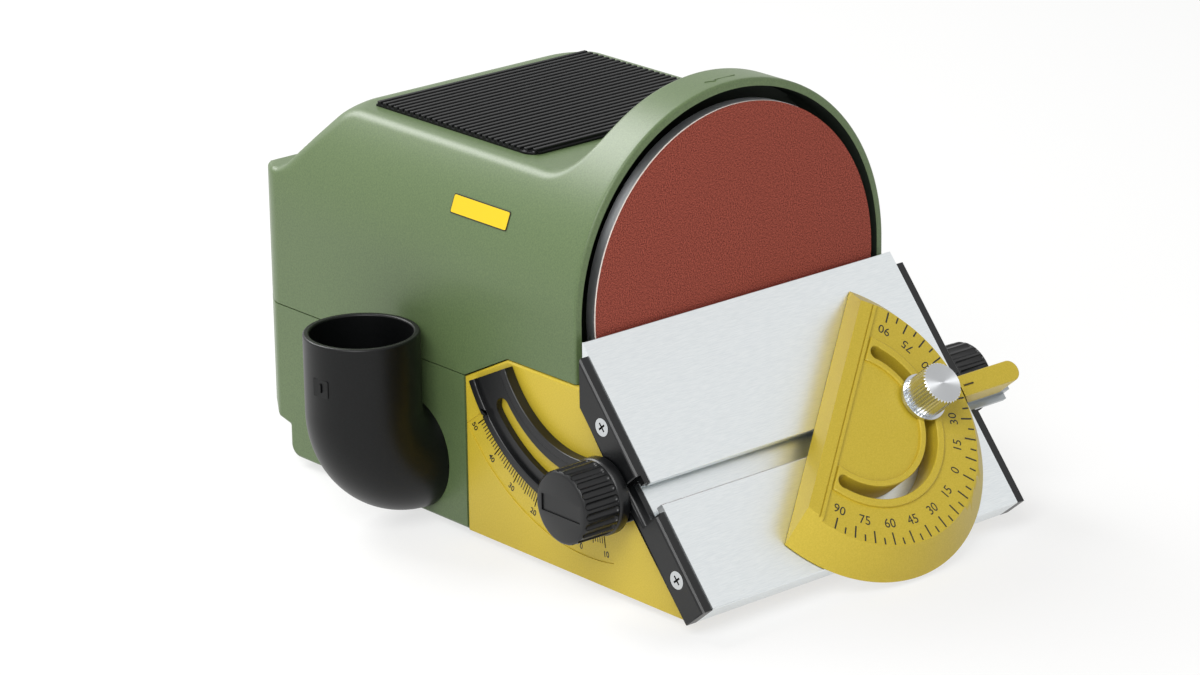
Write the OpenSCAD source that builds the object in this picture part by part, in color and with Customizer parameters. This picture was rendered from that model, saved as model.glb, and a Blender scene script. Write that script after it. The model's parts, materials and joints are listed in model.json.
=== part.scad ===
// Benchtop disc sander with a tilting table and a sliding mitre gauge.
// X runs to the right as seen from the front, Y runs back from the disc's face and Z is up from the bench.
// The origin is on the bench, straight below the centre of the disc's face. The table is at its lowest tilt.

/* [Disc] */
// Diameter of the abrasive disc
disc_d = 125; // [110:1:127]
// Thickness of the abrasive with its backing
abrasive_t = 1; // [0.6:0.1:1.6]
// Thickness of the aluminium backing disc
plate_t = 4; // [3:0.5:6]
// How far the backing disc stands out past the abrasive
plate_lip = 0.8; // [0.2:0.1:1.5]
// Height of the disc's axis above the bench
axis_h = 90; // [88:1:100]

/* [Housing] */
// Thickness of the hood ring round the disc
hood_wall = 4; // [3.5:0.25:6]
// Length from the disc's face to the rear wall
body_l = 176; // [172:1:190]
// Thickness of the moulded walls
wall = 3; // [2.5:0.25:3.5]
// Gap between the backing disc and the hood
hood_gap = 2.7; // [1.5:0.1:3]
// How far the hood's front rim lies behind the disc's face
hood_front = 2; // [1:0.5:3]
// Depth of the hood ring from front to back
hood_depth = 17.5; // [16:0.5:20]
// Radius of the cove between the hood and the top panel
cove_r = 15; // [8:1:18]
// Height of the flat top panel above the disc's axis
panel_rise = 43.5; // [42:0.5:46]
// Height of the rear ledge above the disc's axis
ledge_rise = 18; // [14:1:22]
// Depth of the rear ledge
ledge_l = 10; // [8:1:16]
// How far the rear slope runs back from the top panel
slope_run = 20.5; // [16:0.5:26]
// Bevel of the upright rear corners, measured across
bevel_x = 6.5; // [4:0.5:9]
// Bevel of the upright rear corners, measured from front to back
bevel_y = 10; // [6:0.5:14]
// Height of the seam between the upper and lower housings
seam_h = 59; // [56:1:61]
// Height of the front housing's top edge
front_top_h = 70.4; // [68:0.2:72]
// Where the front housing ends and the lower housing begins
split_y = 60; // [58:1:64]
// How far the housings stand off the bench on their feet
foot_stand = 3; // [2.6:0.2:5]
// Open line between neighbouring housings
seam_gap = 0.4; // [0.2:0.1:0.6]

/* [Table] */
// Depth of the table from its back edge to its front edge
table_l = 98; // [94:1:104]
// Thickness of the table's extruded section
table_t = 11; // [10.5:0.25:12]
// Tilt of the table below level in the rest position
rest_tilt = 50; // [45:1:50]
// Gap between the disc's face and the table's back edge
table_gap = 1.45; // [1:0.05:2]
// How far the tilt axis lies below the disc's axis
pivot_drop = 3.9; // [3:0.1:5]
// Distance of the groove's centre from the table's back edge
groove_d = 55.75; // [55.5:0.25:58]
// Width of the groove at the table's surface
groove_w = 8; // [7:0.25:9]
// Width of the wide foot of the groove
groove_foot_w = 12.2; // [11.5:0.1:13]
// Depth of the groove's narrow neck
groove_neck = 3.2; // [3:0.1:3.4]
// Depth of the groove's wide foot
groove_foot = 2.5; // [2.2:0.1:2.6]

/* [Tilt quadrant] */
// Thickness of the end brackets
bracket_t = 4.2; // [4:0.2:5]
// Radius of the quadrant's centre line about the tilt axis
arc_r = 50; // [49:0.5:51]
// Width of the quadrant
arc_w = 21; // [20:0.5:22]
// Width of the quadrant's slot
slot_w = 6.6; // [6.4:0.1:7]
// Diameter of the clamp studs
stud_d = 6; // [5:0.1:6]
// Diameter of the clamp knobs
knob_d = 26.4; // [24:0.2:26.6]
// Length of the clamp knobs
knob_l = 19; // [16:0.5:22]
// Number of flutes round a clamp knob
knob_flutes = 22; // [16:1:24]

/* [Mitre gauge] */
// Where the gauge stands along the groove, right of the middle
gauge_x = 14.8; // [8:0.2:16]
// Angle of the fence, read on the gauge's scale
gauge_angle = 45; // [40:1:50]
// Radius of the protractor's upper edge
protractor_r = 46; // [44:0.5:47]
// How far the protractor's wall flares out towards the table
protractor_flare = 8.9; // [6:0.1:9]
// Height of the protractor's scale face above the table
protractor_h = 10; // [9:0.25:11]
// Distance of the fence's working face from the swivel centre
fence_back = 11.5; // [10.5:0.25:12.5]
// Width of the raised strip along the fence
fence_strip = 6.3; // [5:0.1:6.5]
// Radius of the clamping slot's centre line
gauge_slot_r = 27.2; // [26:0.2:28]
// Width of the clamping slot
gauge_slot_w = 4.6; // [4.6:0.1:4.8]
// Diameter of the thumb screw's head
thumb_d = 15; // [13:0.5:16]
// Height of the thumb screw's head
thumb_h = 11.4; // [9:0.2:13]
// Length of the pointer arm past the protractor's upper edge
arm_l = 27.8; // [25:0.2:32]

/* [Dust elbow] */
// Outer diameter of the dust elbow
elbow_d = 40; // [38:0.5:41]
// Wall of the dust elbow
elbow_wall = 2.25; // [1.75:0.25:2.75]
// Distance of the upright pipe's axis from the side wall
elbow_reach = 20.6; // [20.6:0.2:24]
// Height of the pipe's rim above the bench
elbow_top = 72; // [66:1:78]
// Distance of the elbow's centre from the disc's face
elbow_y = 89.5; // [88:0.5:94]
// Height of the elbow's inlet above the bench
elbow_z = 23.75; // [23.5:0.25:25]

/* [Top mat] */
// Width of the ribbed mat
mat_w = 95; // [80:1:98]
// Gap between the foot of the cove and the mat
mat_front = 14.5; // [10:0.5:20]
// Gap between the mat and the top of the rear slope
mat_back = 12.5; // [4:0.5:16]
// Thickness of the mat with its ribs
mat_t = 2; // [1.4:0.1:3]
// Distance from one rib to the next
rib_pitch = 3; // [2.5:0.25:4]

/* [Motor] */
// Outer diameter of the motor's steel can
motor_d = 70; // [64:1:72]
// Length of the motor's steel can
motor_l = 82; // [78:1:88]
// Diameter of the motor shaft
shaft_d = 8; // [6:0.5:9]

/* [Controls] */
// Diameter of the speed dial
dial_d = 24; // [18:0.5:26]
// Height of the rocker switch's frame
switch_h = 21; // [19:0.5:23]
// Width of the rocker switch's frame
switch_w = 15; // [14:0.5:18]

/* [Hidden] */
$fn = 96;
eps = 0.01;
// Clearance between the moulded pieces that slide on each other
slide_gap = 0.3;
// Radial clearance of turning fits
turn_gap = 0.05;

// Housing outline
hood_in_r = disc_d / 2 + plate_lip + hood_gap;
half_w = hood_in_r + hood_wall;
body_w = 2 * half_w;
table_w = body_w;
hood_back = hood_front + hood_depth;
panel_h = axis_h + panel_rise;
ledge_h = axis_h + ledge_rise;
slope_foot_y = body_l - ledge_l;
slope_top_y = slope_foot_y - slope_run;
slope_angle = atan((panel_h - ledge_h) / slope_run);
mat_y = hood_back + cove_r + mat_front;
mat_l = slope_top_y - mat_back - mat_y;
partition_y = hood_back - wall;
notch_y = split_y - 2 * (front_top_h - seam_h);
bevel_len = sqrt(bevel_x * bevel_x + bevel_y * bevel_y);
step_h = 18;
step_in = 16.3;
step_drop = 3.7;
step_round = 4.5;

// Bevel between the sides and the rear slope, on the left
corner_in = 10;
corner_back = 7;
corner_foot = 2;
corner_top_x = sqrt(half_w * half_w - panel_rise * panel_rise);
corner_foot_x = sqrt(half_w * half_w - ledge_rise * ledge_rise);
corner_top = [-corner_top_x, slope_top_y - corner_back, panel_h];
corner_across = cross([corner_in, corner_back, 0], [-corner_foot_x, slope_foot_y - corner_foot, ledge_h] - corner_top);
corner_normal = corner_across / norm(corner_across);

// Tilt axis, and the frame of the table at rest
pivot_y = -table_gap;
pivot_h = axis_h - pivot_drop;
table_stand = 0.8;
stud_angle = -108;
scale_low = stud_angle + 7;
scale_high = stud_angle + 72;
stud_y = pivot_y + arc_r * cos(stud_angle);
stud_h = pivot_h + arc_r * sin(stud_angle);
front_slope_y = pivot_y + (table_t + table_stand) / sin(rest_tilt);
front_cut = 2.6;

// Quadrant, measured in the table's own frame
arc_floor_t = 2.2;
arc_rib = 3;
arc_tip_angle = -26 - rest_tilt;
arc_mark_angle = -38 - rest_tilt;
slot_first_angle = stud_angle - 0.4 - rest_tilt;
slot_last_angle = -40 - rest_tilt;
bracket_back_d = 5;
bracket_out = table_w / 2 + bracket_t;
arc_in = max(half_w, table_w / 2) + 0.4;
bracket_edge = 1.2;
bracket_top_gap = 0.4;
notch_w = groove_foot_w + 2.6;
bracket_screw_d = [28, 84];
bracket_screw_drop = 5.2;
screw_r = 1.5;
screw_head_r = 3.1;
knob_back = bracket_out + slide_gap;
boss_r = 6.5;
boss_l = 9;
insert_r = stud_d / 2 + 1.6;
insert_in = half_w - wall - boss_l;

// Mitre gauge, measured in the table's own frame
gauge_lift = 0.3;
bar_neck_w = groove_w - 0.4;
bar_foot_w = groove_foot_w - 0.6;
bar_left = gauge_x - 7;
arm_x = gauge_x + protractor_r + 0.5;
arm_tip = arm_x + arm_l;
ring_rise = 1;
ring_in = gauge_slot_r - gauge_slot_w / 2 - 2.2;
ring_out = gauge_slot_r + gauge_slot_w / 2 + 2.8;
slot_sweep = 92;
ring_end = fence_back - fence_strip - 0.8;
pin_r = 3;
thumb_stud_r = 2;
thumb_washer_t = 1.3;
thumb_washer_r = thumb_d / 2 + 1;
thumb_foot = gauge_lift + protractor_h + ring_rise + 0.2;
knurls = 44;

// Drive
plate_r = disc_d / 2 + plate_lip;
plate_back = abrasive_t + plate_t;
hub_r = 13;
hub_l = 8;
shaft_r = shaft_d / 2;
shaft_front = plate_back;
motor_r = motor_d / 2;
end_plate_t = 5;
can_y = hood_back + end_plate_t;
can_end = can_y + motor_l;
rear_plate_end = can_end + end_plate_t;
can_wall = 2.2;
magnet_t = 5;
core_r = motor_r - can_wall - magnet_t - 0.8;
bearing_r = 11;
bearing_l = 7;
bearing_boss = bearing_l + 3 - end_plate_t;
winding_l = 7;
comm_r = 12;
comm_l = 9;
core_y = can_y + bearing_boss + winding_l + 6;
comm_y = can_end - bearing_boss - 1 - comm_l;
core_l = comm_y - 2 - winding_l - core_y;
fan_y = rear_plate_end + 2;
fan_l = 9;
fan_r = motor_r - 2;
shaft_end = fan_y + fan_l;
motor_screw_r = 28;
motor_screw_angles = [90, 210, 330];
brush_w = 6;
holder_in = bearing_r + 3.2;
holder_out = motor_r - can_wall - 4.6;

// Dust duct inside the housings
duct_r = 17;
duct_wall = 2;
duct_bend = 18;
duct_x = half_w - wall - duct_bend - 11;

// Feet and housing screws
foot_r = 9;
foot_sink = 2;
foot_x = half_w - 18;
foot_front_y = -34;
foot_rear_y = 134;
post_r = 5;
post_x = half_w - wall - 4;
post_front_y = hood_back + 7.5;
post_mid_y = split_y + wall + 4.4;
post_rear_y = body_l - 27;
post_head_h = 30;
case_screw_r = 2;
case_head_r = 3.6;
case_screw_up = 12;

// Controls on the right wall
control_h = 75;
switch_y = split_y + 18;
dial_y = (switch_y + switch_w / 2 + post_rear_y - post_r) / 2;
board_l = 2 * (dial_y - switch_y - switch_w / 2) - 14.5;
board_h = 26;
pillar_y = board_l * 0.39;
switch_deep = 22;
switch_frame = 1.6;
rocker_tilt = 7;
dial_h = 8;
pot_r = 8;
pot_l = 8;
board_t = 1.6;
board_gap = 11;
gland_r = 8;
gland_x = 42;
gland_h = 36;

// Runs an outline drawn in X and Z from y0 to y1
module along_y(y0, y1)
    translate([0, y1, 0]) rotate([90, 0, 0]) linear_extrude(height = y1 - y0) children();

// Runs an outline drawn in Y and Z from x0 to x1
module along_x(x0, x1)
    translate([x0, 0, 0]) rotate(120, [1, 1, 1]) linear_extrude(height = x1 - x0) children();

// Straight round bar along Y
module rod_y(r, y0, y1) translate([0, y0, 0]) rotate([-90, 0, 0]) cylinder(r = r, h = y1 - y0);

// Straight round bar along X
module rod_x(r, x0, x1) translate([x0, 0, 0]) rotate([0, 90, 0]) cylinder(r = r, h = x1 - x0);

// Ring sector about the X axis, with angles from +Y towards +Z
module sector_x(r0, r1, x0, x1, a0, a1)
    rotate(120, [1, 1, 1]) rotate([0, 0, a0]) rotate_extrude(angle = a1 - a0)
        translate([r0, x0]) square([r1 - r0, x1 - x0]);

// Puts a child at the disc's axis
module at_axis() translate([0, 0, axis_h]) children();

// Puts a child in the table's frame: back edge at the origin, front towards -Y, surface at Z zero
module on_table() translate([0, pivot_y, pivot_h]) rotate([rest_tilt, 0, 0]) children();

// Puts a child at the gauge's swivel centre, on the table's surface
module on_gauge() on_table() translate([gauge_x, -groove_d, 0]) children();

// Both sides of the machine
module both_sides() {
    children();
    mirror([1, 0, 0]) children();
}

// Countersunk screw along +X, with its flat head's face at x zero and a cross recess
module countersunk_screw(length) difference() {
    union() {
        rotate([0, 90, 0]) cylinder(r1 = screw_head_r, r2 = screw_r, h = screw_head_r - screw_r);
        rod_x(screw_r, 0, length);
    }
    for (turn = [0, 90]) rotate([turn, 0, 0])
        translate([-eps, -screw_head_r * 0.55, -0.35]) cube([0.9, screw_head_r * 1.1, 0.7]);
}

// Pan head screw along +Z, with its head below z zero
module pan_screw(r, head_r, length) difference() {
    union() {
        translate([0, 0, -head_r * 0.7]) cylinder(r = head_r, h = head_r * 0.7);
        cylinder(r = r, h = length);
    }
    for (turn = [0, 90]) rotate([0, 0, turn])
        translate([-head_r * 0.6, -0.45, -head_r * 0.7 - eps]) cube([head_r * 1.2, 0.9, 1.2]);
}

// Arched section of the body, drawn in X and Z
module arch(r) {
    translate([0, axis_h]) circle(r);
    translate([-r, 0]) square([2 * r, axis_h]);
}

// Plan of the body behind the disc with bevelled rear corners, set in by t
module body_plan(t) {
    side = half_w - t;
    bevel_front = body_l - bevel_y - t * (bevel_len - bevel_y) / bevel_x;
    bevel_side = half_w - bevel_x - t * (bevel_len - bevel_x) / bevel_y;
    polygon([[-side, -axis_h], [side, -axis_h], [side, bevel_front], [bevel_side, body_l - t],
        [-bevel_side, body_l - t], [-side, bevel_front]]);
}

// Side view of the upper housing, drawn in Y and Z
module upper_side() {
    polygon([[hood_front, front_top_h], [hood_front, axis_h + half_w], [hood_back, axis_h + half_w],
        [hood_back, panel_h], [slope_top_y, panel_h], [slope_foot_y, ledge_h], [body_l, ledge_h],
        [body_l, seam_h], [split_y, seam_h], [notch_y, front_top_h]]);
    translate([hood_back, panel_h]) difference() {
        square(cove_r);
        translate([cove_r, cove_r]) circle(cove_r);
    }
}

// Side view of the room behind the partition
module upper_room_side() {
    k = wall * tan(slope_angle / 2);
    polygon([[hood_back, 0], [hood_back, panel_h - wall], [slope_top_y - k, panel_h - wall],
        [slope_foot_y - k, ledge_h - wall], [body_l - wall, ledge_h - wall], [body_l - wall, 0]]);
}

// Space outside the bevel between the left side and the rear slope, moved in by t
module rear_corner(t) intersection() {
    translate(corner_top - t * corner_normal)
        rotate([0, acos(corner_normal[2]), atan2(corner_normal[1], corner_normal[0])])
            translate([-half_w, -half_w, 0]) cube([body_w, body_w, half_w]);
    translate([-body_w, 0, ledge_h - t]) cube([2 * body_w, 2 * body_l, axis_h]);
}

// Places of the posts that hold the housings together, as [x, y]
function posts() = [for (y = [post_front_y, post_mid_y, post_rear_y], s = [-1, 1]) [s * post_x, y]];
// Height of the upper housing's lower edge at a post
function upper_edge(y) = y > split_y ? seam_h : front_top_h;

// Green upper housing: hood ring, arch, flat top panel, sloping rear, with the motor's partition
module upper_housing() color("darkolivegreen") difference() {
    union() {
        difference() {
            intersection() {
                along_y(hood_front, body_l) arch(half_w);
                along_x(-half_w, half_w) upper_side();
                linear_extrude(height = axis_h + body_w) body_plan(0);
            }
            both_sides() rear_corner(0);
            along_y(hood_front - 1, partition_y) arch(hood_in_r);
            difference() {
                intersection() {
                    along_y(hood_back, body_l) arch(half_w - wall);
                    along_x(-half_w, half_w) upper_room_side();
                    linear_extrude(height = axis_h + body_w) body_plan(wall);
                }
                both_sides() rear_corner(wall);
            }
        }
        for (p = posts()) translate([p[0], p[1], upper_edge(p[1])])
            cylinder(r = post_r, h = case_screw_up + wall);
        for (y = [-1, 1]) translate([0, dial_y + y * pillar_y, control_h + 12])
            rod_x(2.5, half_w - wall - board_gap, half_w - wall + eps);
    }
    at_axis() rod_y(bearing_r + 2, partition_y - 1, hood_back + 1);
    at_axis() for (a = motor_screw_angles) rotate([0, -a, 0]) translate([motor_screw_r, 0, 0])
        rod_y(case_screw_r + 0.2, partition_y - 1, hood_back + 1);
    for (p = posts()) translate([p[0], p[1], upper_edge(p[1]) - 1])
        cylinder(r = case_screw_r + 0.05, h = case_screw_up + 1);
    translate([half_w - wall - 1, switch_y - switch_w / 2 + switch_frame, control_h - switch_h / 2 + switch_frame])
        cube([wall + 2, switch_w - 2 * switch_frame, switch_h - 2 * switch_frame]);
    translate([0, dial_y, control_h]) rod_x(4, half_w - wall - 1, half_w + 1);
    for (i = [-4:4]) translate([i * 9 - 1.6, body_l - wall - 1, seam_h + 8]) cube([3.2, wall + 2, 32]);
}

// Side view of the lower housing, set in by t, with the undercut at the rear
module lower_side(t) {
    rear = body_l - t;
    floor_h = foot_stand + t;
    difference() {
        polygon([[split_y + seam_gap + t, floor_h], [rear - step_in, floor_h], [rear - step_in, step_h - step_drop],
            [rear, step_h + (t > 0 ? t : 0)], [rear, seam_h - seam_gap + t], [split_y + seam_gap + t, seam_h - seam_gap + t]]);
        translate([rear - step_in - step_round, floor_h]) difference() {
            square(step_round + 1);
            translate([0, step_round]) circle(step_round);
            translate([0, step_round]) square(step_round + 2);
        }
    }
}

// Green lower housing: open tub under the motor, with the dust outlet on its left wall
module lower_housing() color("darkolivegreen") difference() {
    union() {
        difference() {
            intersection() {
                along_x(-half_w, half_w) lower_side(0);
                linear_extrude(height = axis_h) body_plan(0);
            }
            intersection() {
                along_x(-half_w, half_w) lower_side(wall);
                linear_extrude(height = axis_h) body_plan(wall);
            }
        }
        for (p = posts()) if (p[1] > split_y) translate([p[0], p[1], foot_stand + eps])
            cylinder(r = post_r, h = seam_h - foot_stand - eps);
        translate([-motor_r * 0.7, can_end - 12, foot_stand + wall - eps])
            cube([motor_r * 1.4, wall, axis_h - motor_r * 0.6 - foot_stand - wall]);
    }
    at_axis() rod_y(motor_r + slide_gap, split_y - 1, can_end + 1);
    for (p = posts()) if (p[1] > split_y) {
        translate([p[0], p[1], foot_stand - 1]) cylinder(r = case_screw_r + 0.3, h = seam_h);
        translate([p[0], p[1], foot_stand - 1]) cylinder(r = case_head_r + 0.3, h = post_head_h - foot_stand + 1);
    }
    translate([0, elbow_y, elbow_z]) rod_x(elbow_d / 2 - elbow_wall, -half_w - 1, -half_w + wall + 1);
    translate([-duct_x, 0, elbow_z]) rod_y(duct_r + slide_gap, split_y - 1, split_y + wall + seam_gap + 1);
    translate([gland_x, 0, gland_h]) rod_y(gland_r - 2, body_l - wall - 1, body_l + 1);
    for (s = [-1, 1]) translate([s * foot_x, foot_rear_y, foot_stand - 1]) cylinder(r = foot_r, h = foot_sink + 1);
}

// Side view of the front housing, drawn in Y and Z, set in from its slanted front by t
module front_side(t) {
    run = 1 / tan(rest_tilt);
    lean = front_slope_y + t / sin(rest_tilt);
    top = front_top_h - seam_gap;
    low = foot_stand + t;
    corner = lean - (pivot_h - low) * run + front_cut;
    polygon([[corner, low], [split_y, low], [split_y, seam_h - seam_gap], [notch_y, top],
        [lean - (pivot_h - top) * run, top], [corner, low + front_cut / run]]);
}

// Angular guide key that the quadrant's slot runs on
module guide_key() translate([0, pivot_y, pivot_h])
    sector_x(arc_r - slot_w / 2 + slide_gap, arc_r + slot_w / 2 - slide_gap, half_w - eps, arc_in + arc_floor_t - 0.2,
        stud_angle + 4.2, stud_angle + 8);

// Yellow front housing: table support and dust room under the disc
module front_housing() color("goldenrod") difference() {
    union() {
        difference() {
            along_x(-half_w, half_w) front_side(0);
            intersection() {
                along_x(-hood_in_r, hood_in_r) front_side(wall);
                along_y(-axis_h, partition_y) arch(hood_in_r);
            }
            along_y(-axis_h, partition_y) translate([-hood_in_r, pivot_h - 2 * (table_t + wall + 0.5)])
                square([2 * hood_in_r, axis_h]);
            translate([-half_w + wall, hood_back, foot_stand + wall])
                cube([body_w - 2 * wall, split_y - hood_back - wall, axis_h]);
        }
        for (p = posts()) if (p[1] < split_y) translate([p[0], p[1], foot_stand + eps])
            cylinder(r = post_r, h = front_top_h - foot_stand - eps);
        intersection() {
            both_sides() translate([0, stud_y, stud_h]) rod_x(boss_r, insert_in, half_w - wall + eps);
            along_x(-half_w, half_w) front_side(0);
        }
        both_sides() guide_key();
    }
    at_axis() rod_y(motor_r + slide_gap, hood_back, split_y + 1);
    both_sides() translate([0, stud_y, stud_h]) {
        rod_x(insert_r, insert_in - 1, half_w - wall);
        rod_x(stud_d / 2 + slide_gap, insert_in, half_w + 1);
    }
    translate([-duct_x, 0, elbow_z]) rod_y(duct_r - duct_wall, partition_y - 1, hood_back + 1);
    translate([-duct_x, 0, elbow_z]) rod_y(duct_r + slide_gap, split_y - wall - 1, split_y + 1);
    for (p = posts()) if (p[1] < split_y) {
        translate([p[0], p[1], foot_stand - 1]) cylinder(r = case_screw_r + 0.3, h = axis_h);
        translate([p[0], p[1], foot_stand - 1]) cylinder(r = case_head_r + 0.3, h = post_head_h - foot_stand + 1);
    }
    for (s = [-1, 1]) translate([s * foot_x, foot_front_y, foot_stand - 1]) cylinder(r = foot_r, h = foot_sink + 1);
    translate([0, pivot_y, pivot_h]) mirror([1, 0, 0])
        sector_x(arc_r + arc_w / 2 + 1, arc_r + arc_w / 2 + 14.6, half_w - 0.4, half_w + 1,
            scale_low, scale_high);
}

// Black ribbed rubber mat on the top panel
module top_mat() color("dimgray") {
    corner = 5;
    ribs = floor((mat_l - rib_pitch) / rib_pitch);
    base_t = mat_t * 0.45;
    translate([0, mat_y, panel_h]) {
        linear_extrude(height = base_t) {
            translate([-mat_w / 2, corner]) square([mat_w, mat_l - corner]);
            translate([-mat_w / 2 + corner, 0]) square([mat_w - 2 * corner, mat_l]);
            for (s = [-1, 1]) translate([s * (mat_w / 2 - corner), corner]) circle(corner);
        }
        for (i = [0:ribs]) {
            inset = max(0, corner - (i + 0.2) * rib_pitch);
            rib_w = mat_w - (i * rib_pitch < corner ? inset : 0);
            translate([-rib_w / 2, (i + 0.2) * rib_pitch, base_t - eps])
                cube([rib_w, rib_pitch * 0.6, mat_t - base_t + eps]);
        }
    }
}

// Black dust elbow plugged into the left wall
module dust_elbow() color("black") {
    bore_r = elbow_d / 2 - elbow_wall;
    spigot_r = bore_r - turn_gap;
    translate([-half_w, elbow_y, elbow_z]) {
        translate([0, 0, elbow_reach]) rotate([90, 0, 0]) rotate([0, 0, 180]) rotate_extrude(angle = 90)
            translate([elbow_reach, 0]) difference() {
                circle(elbow_d / 2);
                circle(bore_r);
            }
        translate([-elbow_reach, 0, elbow_reach]) difference() {
            cylinder(r = elbow_d / 2, h = elbow_top - elbow_z - elbow_reach);
            translate([0, 0, -eps]) cylinder(r = bore_r, h = elbow_top);
        }
        difference() {
            union() {
                rod_x(spigot_r, -elbow_wall, wall + 1.5);
                rod_x(elbow_d / 2 - 0.2, -elbow_wall, 0);
            }
            rod_x(spigot_r - 2, -elbow_wall - 1, wall + 3);
        }
    }
}

// Duct from the dust room to the elbow, inside the housings
module dust_duct() color("dimgray") {
    straight_end = elbow_y - duct_bend;
    mouth_x = half_w - wall - 1.8;
    translate([-duct_x, 0, elbow_z]) difference() {
        rod_y(duct_r, hood_back, straight_end);
        rod_y(duct_r - duct_wall, hood_back - 1, straight_end + 1);
    }
    translate([-duct_x - duct_bend, straight_end, elbow_z]) rotate_extrude(angle = 90)
        translate([duct_bend, 0]) difference() {
            circle(duct_r);
            circle(duct_r - duct_wall);
        }
    translate([0, elbow_y, elbow_z]) difference() {
        rod_x(duct_r, -mouth_x, -duct_x - duct_bend);
        rod_x(duct_r - duct_wall, -mouth_x - 1, -duct_x - duct_bend + 1);
    }
}

// Four rubber feet sunk into the housings
module rubber_feet() color("black")
    for (x = [-foot_x, foot_x], y = [foot_front_y, foot_rear_y]) translate([x, y, 0])
        cylinder(r1 = foot_r - 1.2, r2 = foot_r - 0.3, h = foot_stand + foot_sink);

// Screws that draw the housings together from below
module housing_screws() color("silver") for (p = posts()) translate([p[0], p[1], post_head_h])
    pan_screw(case_screw_r, case_head_r, upper_edge(p[1]) + case_screw_up - post_head_h - 1);

// Steel tube of the motor
module motor_can() color("gray") at_axis() difference() {
    rod_y(motor_r, can_y, can_end);
    rod_y(motor_r - can_wall, can_y - 1, can_end + 1);
}

// Two magnet shells inside the can
module motor_magnets() color("darkslategray") at_axis() for (turn = [0, 180])
    rotate([0, turn + 55, 0]) rotate([-90, 0, 0]) translate([0, 0, core_y - 3])
        rotate_extrude(angle = 110) translate([motor_r - can_wall - magnet_t, 0]) square([magnet_t, core_l + 6]);

// End plate with a bearing seat, drawn from y zero towards the inside of the motor
module end_plate() difference() {
    union() {
        rod_y(motor_r, 0, end_plate_t);
        rod_y(bearing_r + 3, 0, bearing_l + 3);
    }
    rod_y(bearing_r, -1, bearing_l);
    rod_y(shaft_r + 1, -1, bearing_l + 4);
}

// Front end plate, screwed to the partition
module front_end_plate() color("lightgray") at_axis() difference() {
    translate([0, hood_back, 0]) end_plate();
    for (a = motor_screw_angles) rotate([0, -a, 0]) translate([motor_screw_r, 0, 0])
        rod_y(case_screw_r + 0.05, hood_back - 1, can_y + 1);
}

// Rear end plate with windows for the brush holders
module rear_end_plate() color("lightgray") at_axis()
    translate([0, rear_plate_end, 0]) mirror([0, 1, 0]) end_plate();

// Ball bearing as one ring, drawn from y zero
module bearing() difference() {
    rod_y(bearing_r, 0, bearing_l);
    rod_y(shaft_r + turn_gap, -1, bearing_l + 1);
    for (y = [0, bearing_l]) rotate([-90, 0, 0]) translate([0, 0, y - 0.4]) difference() {
        cylinder(r = bearing_r - 2.2, h = 0.8);
        translate([0, 0, -1]) cylinder(r = shaft_r + 2, h = 3);
    }
}

module front_bearing() color("silver") translate([0, hood_back, axis_h]) bearing();

module rear_bearing() color("silver") translate([0, rear_plate_end - bearing_l, axis_h]) bearing();

// Two brush holders that stand on the rear end plate and reach the commutator
module brush_holders() color("saddlebrown") translate([0, comm_y + comm_l / 2, axis_h]) for (s = [0, 180])
    rotate([0, s, 0]) difference() {
        translate([holder_in, -brush_w / 2 - 1.5, -brush_w / 2 - 1.5])
            cube([holder_out - holder_in, can_end - comm_y - comm_l / 2 + brush_w / 2 + 1.5, brush_w + 3]);
        translate([comm_r, -brush_w / 2, -brush_w / 2]) cube([holder_out, brush_w, brush_w]);
    }

// Two carbon brushes in their holders
module carbon_brushes() color("black") translate([0, comm_y + comm_l / 2, axis_h]) for (s = [0, 180])
    rotate([0, s, 0]) difference() {
        translate([comm_r - 2, -brush_w / 2, -brush_w / 2]) cube([2 * brush_w, brush_w, brush_w]);
        rod_y(comm_r + 0.08, -brush_w, brush_w);
    }

// Screws through the partition into the motor's front end plate
module motor_screws() color("silver") at_axis() for (a = motor_screw_angles)
    rotate([0, -a, 0]) translate([motor_screw_r, partition_y, 0]) rotate([-90, 0, 0])
        pan_screw(case_screw_r, case_head_r, wall + end_plate_t - 1);

// Speed control board on two pillars beside the motor
module control_board() color("darkgreen") translate([half_w - wall - board_gap - board_t, dial_y, control_h]) {
    translate([0, -board_l / 2, -board_h * 0.35]) cube([board_t, board_l, board_h]);
    translate([-7, -board_l * 0.41, -board_h * 0.23]) cube([7 + eps, board_l * 0.23, board_h * 0.54]);
    translate([0, board_l * 0.3, board_h * 0.19]) rod_x(board_l * 0.09, -9, eps);
    translate([-5, -board_l * 0.05, board_h * 0.23]) cube([5 + eps, board_l * 0.18, board_h * 0.31]);
}

// Potentiometer behind the speed dial
module speed_pot() color("slategray") translate([0, dial_y, control_h]) {
    rod_x(pot_r, half_w - wall - pot_l, half_w - wall);
    rod_x(3.5, half_w - wall - 1, half_w + 0.4);
    rod_x(2, half_w - wall - board_gap, half_w - wall - pot_l + eps);
}

// Frame and body of the rocker switch
module switch_frame() color("black") translate([half_w, switch_y, control_h]) difference() {
    union() {
        translate([0, -switch_w / 2, -switch_h / 2]) cube([2, switch_w, switch_h]);
        translate([-switch_deep, -switch_w / 2 + switch_frame + 0.2, -switch_h / 2 + switch_frame + 0.2])
            cube([switch_deep + 1, switch_w - 2 * switch_frame - 0.4, switch_h - 2 * switch_frame - 0.4]);
    }
    translate([-6, -switch_w / 2 + 2 * switch_frame, -switch_h / 2 + 2 * switch_frame])
        cube([10, switch_w - 4 * switch_frame, switch_h - 4 * switch_frame]);
}

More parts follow.
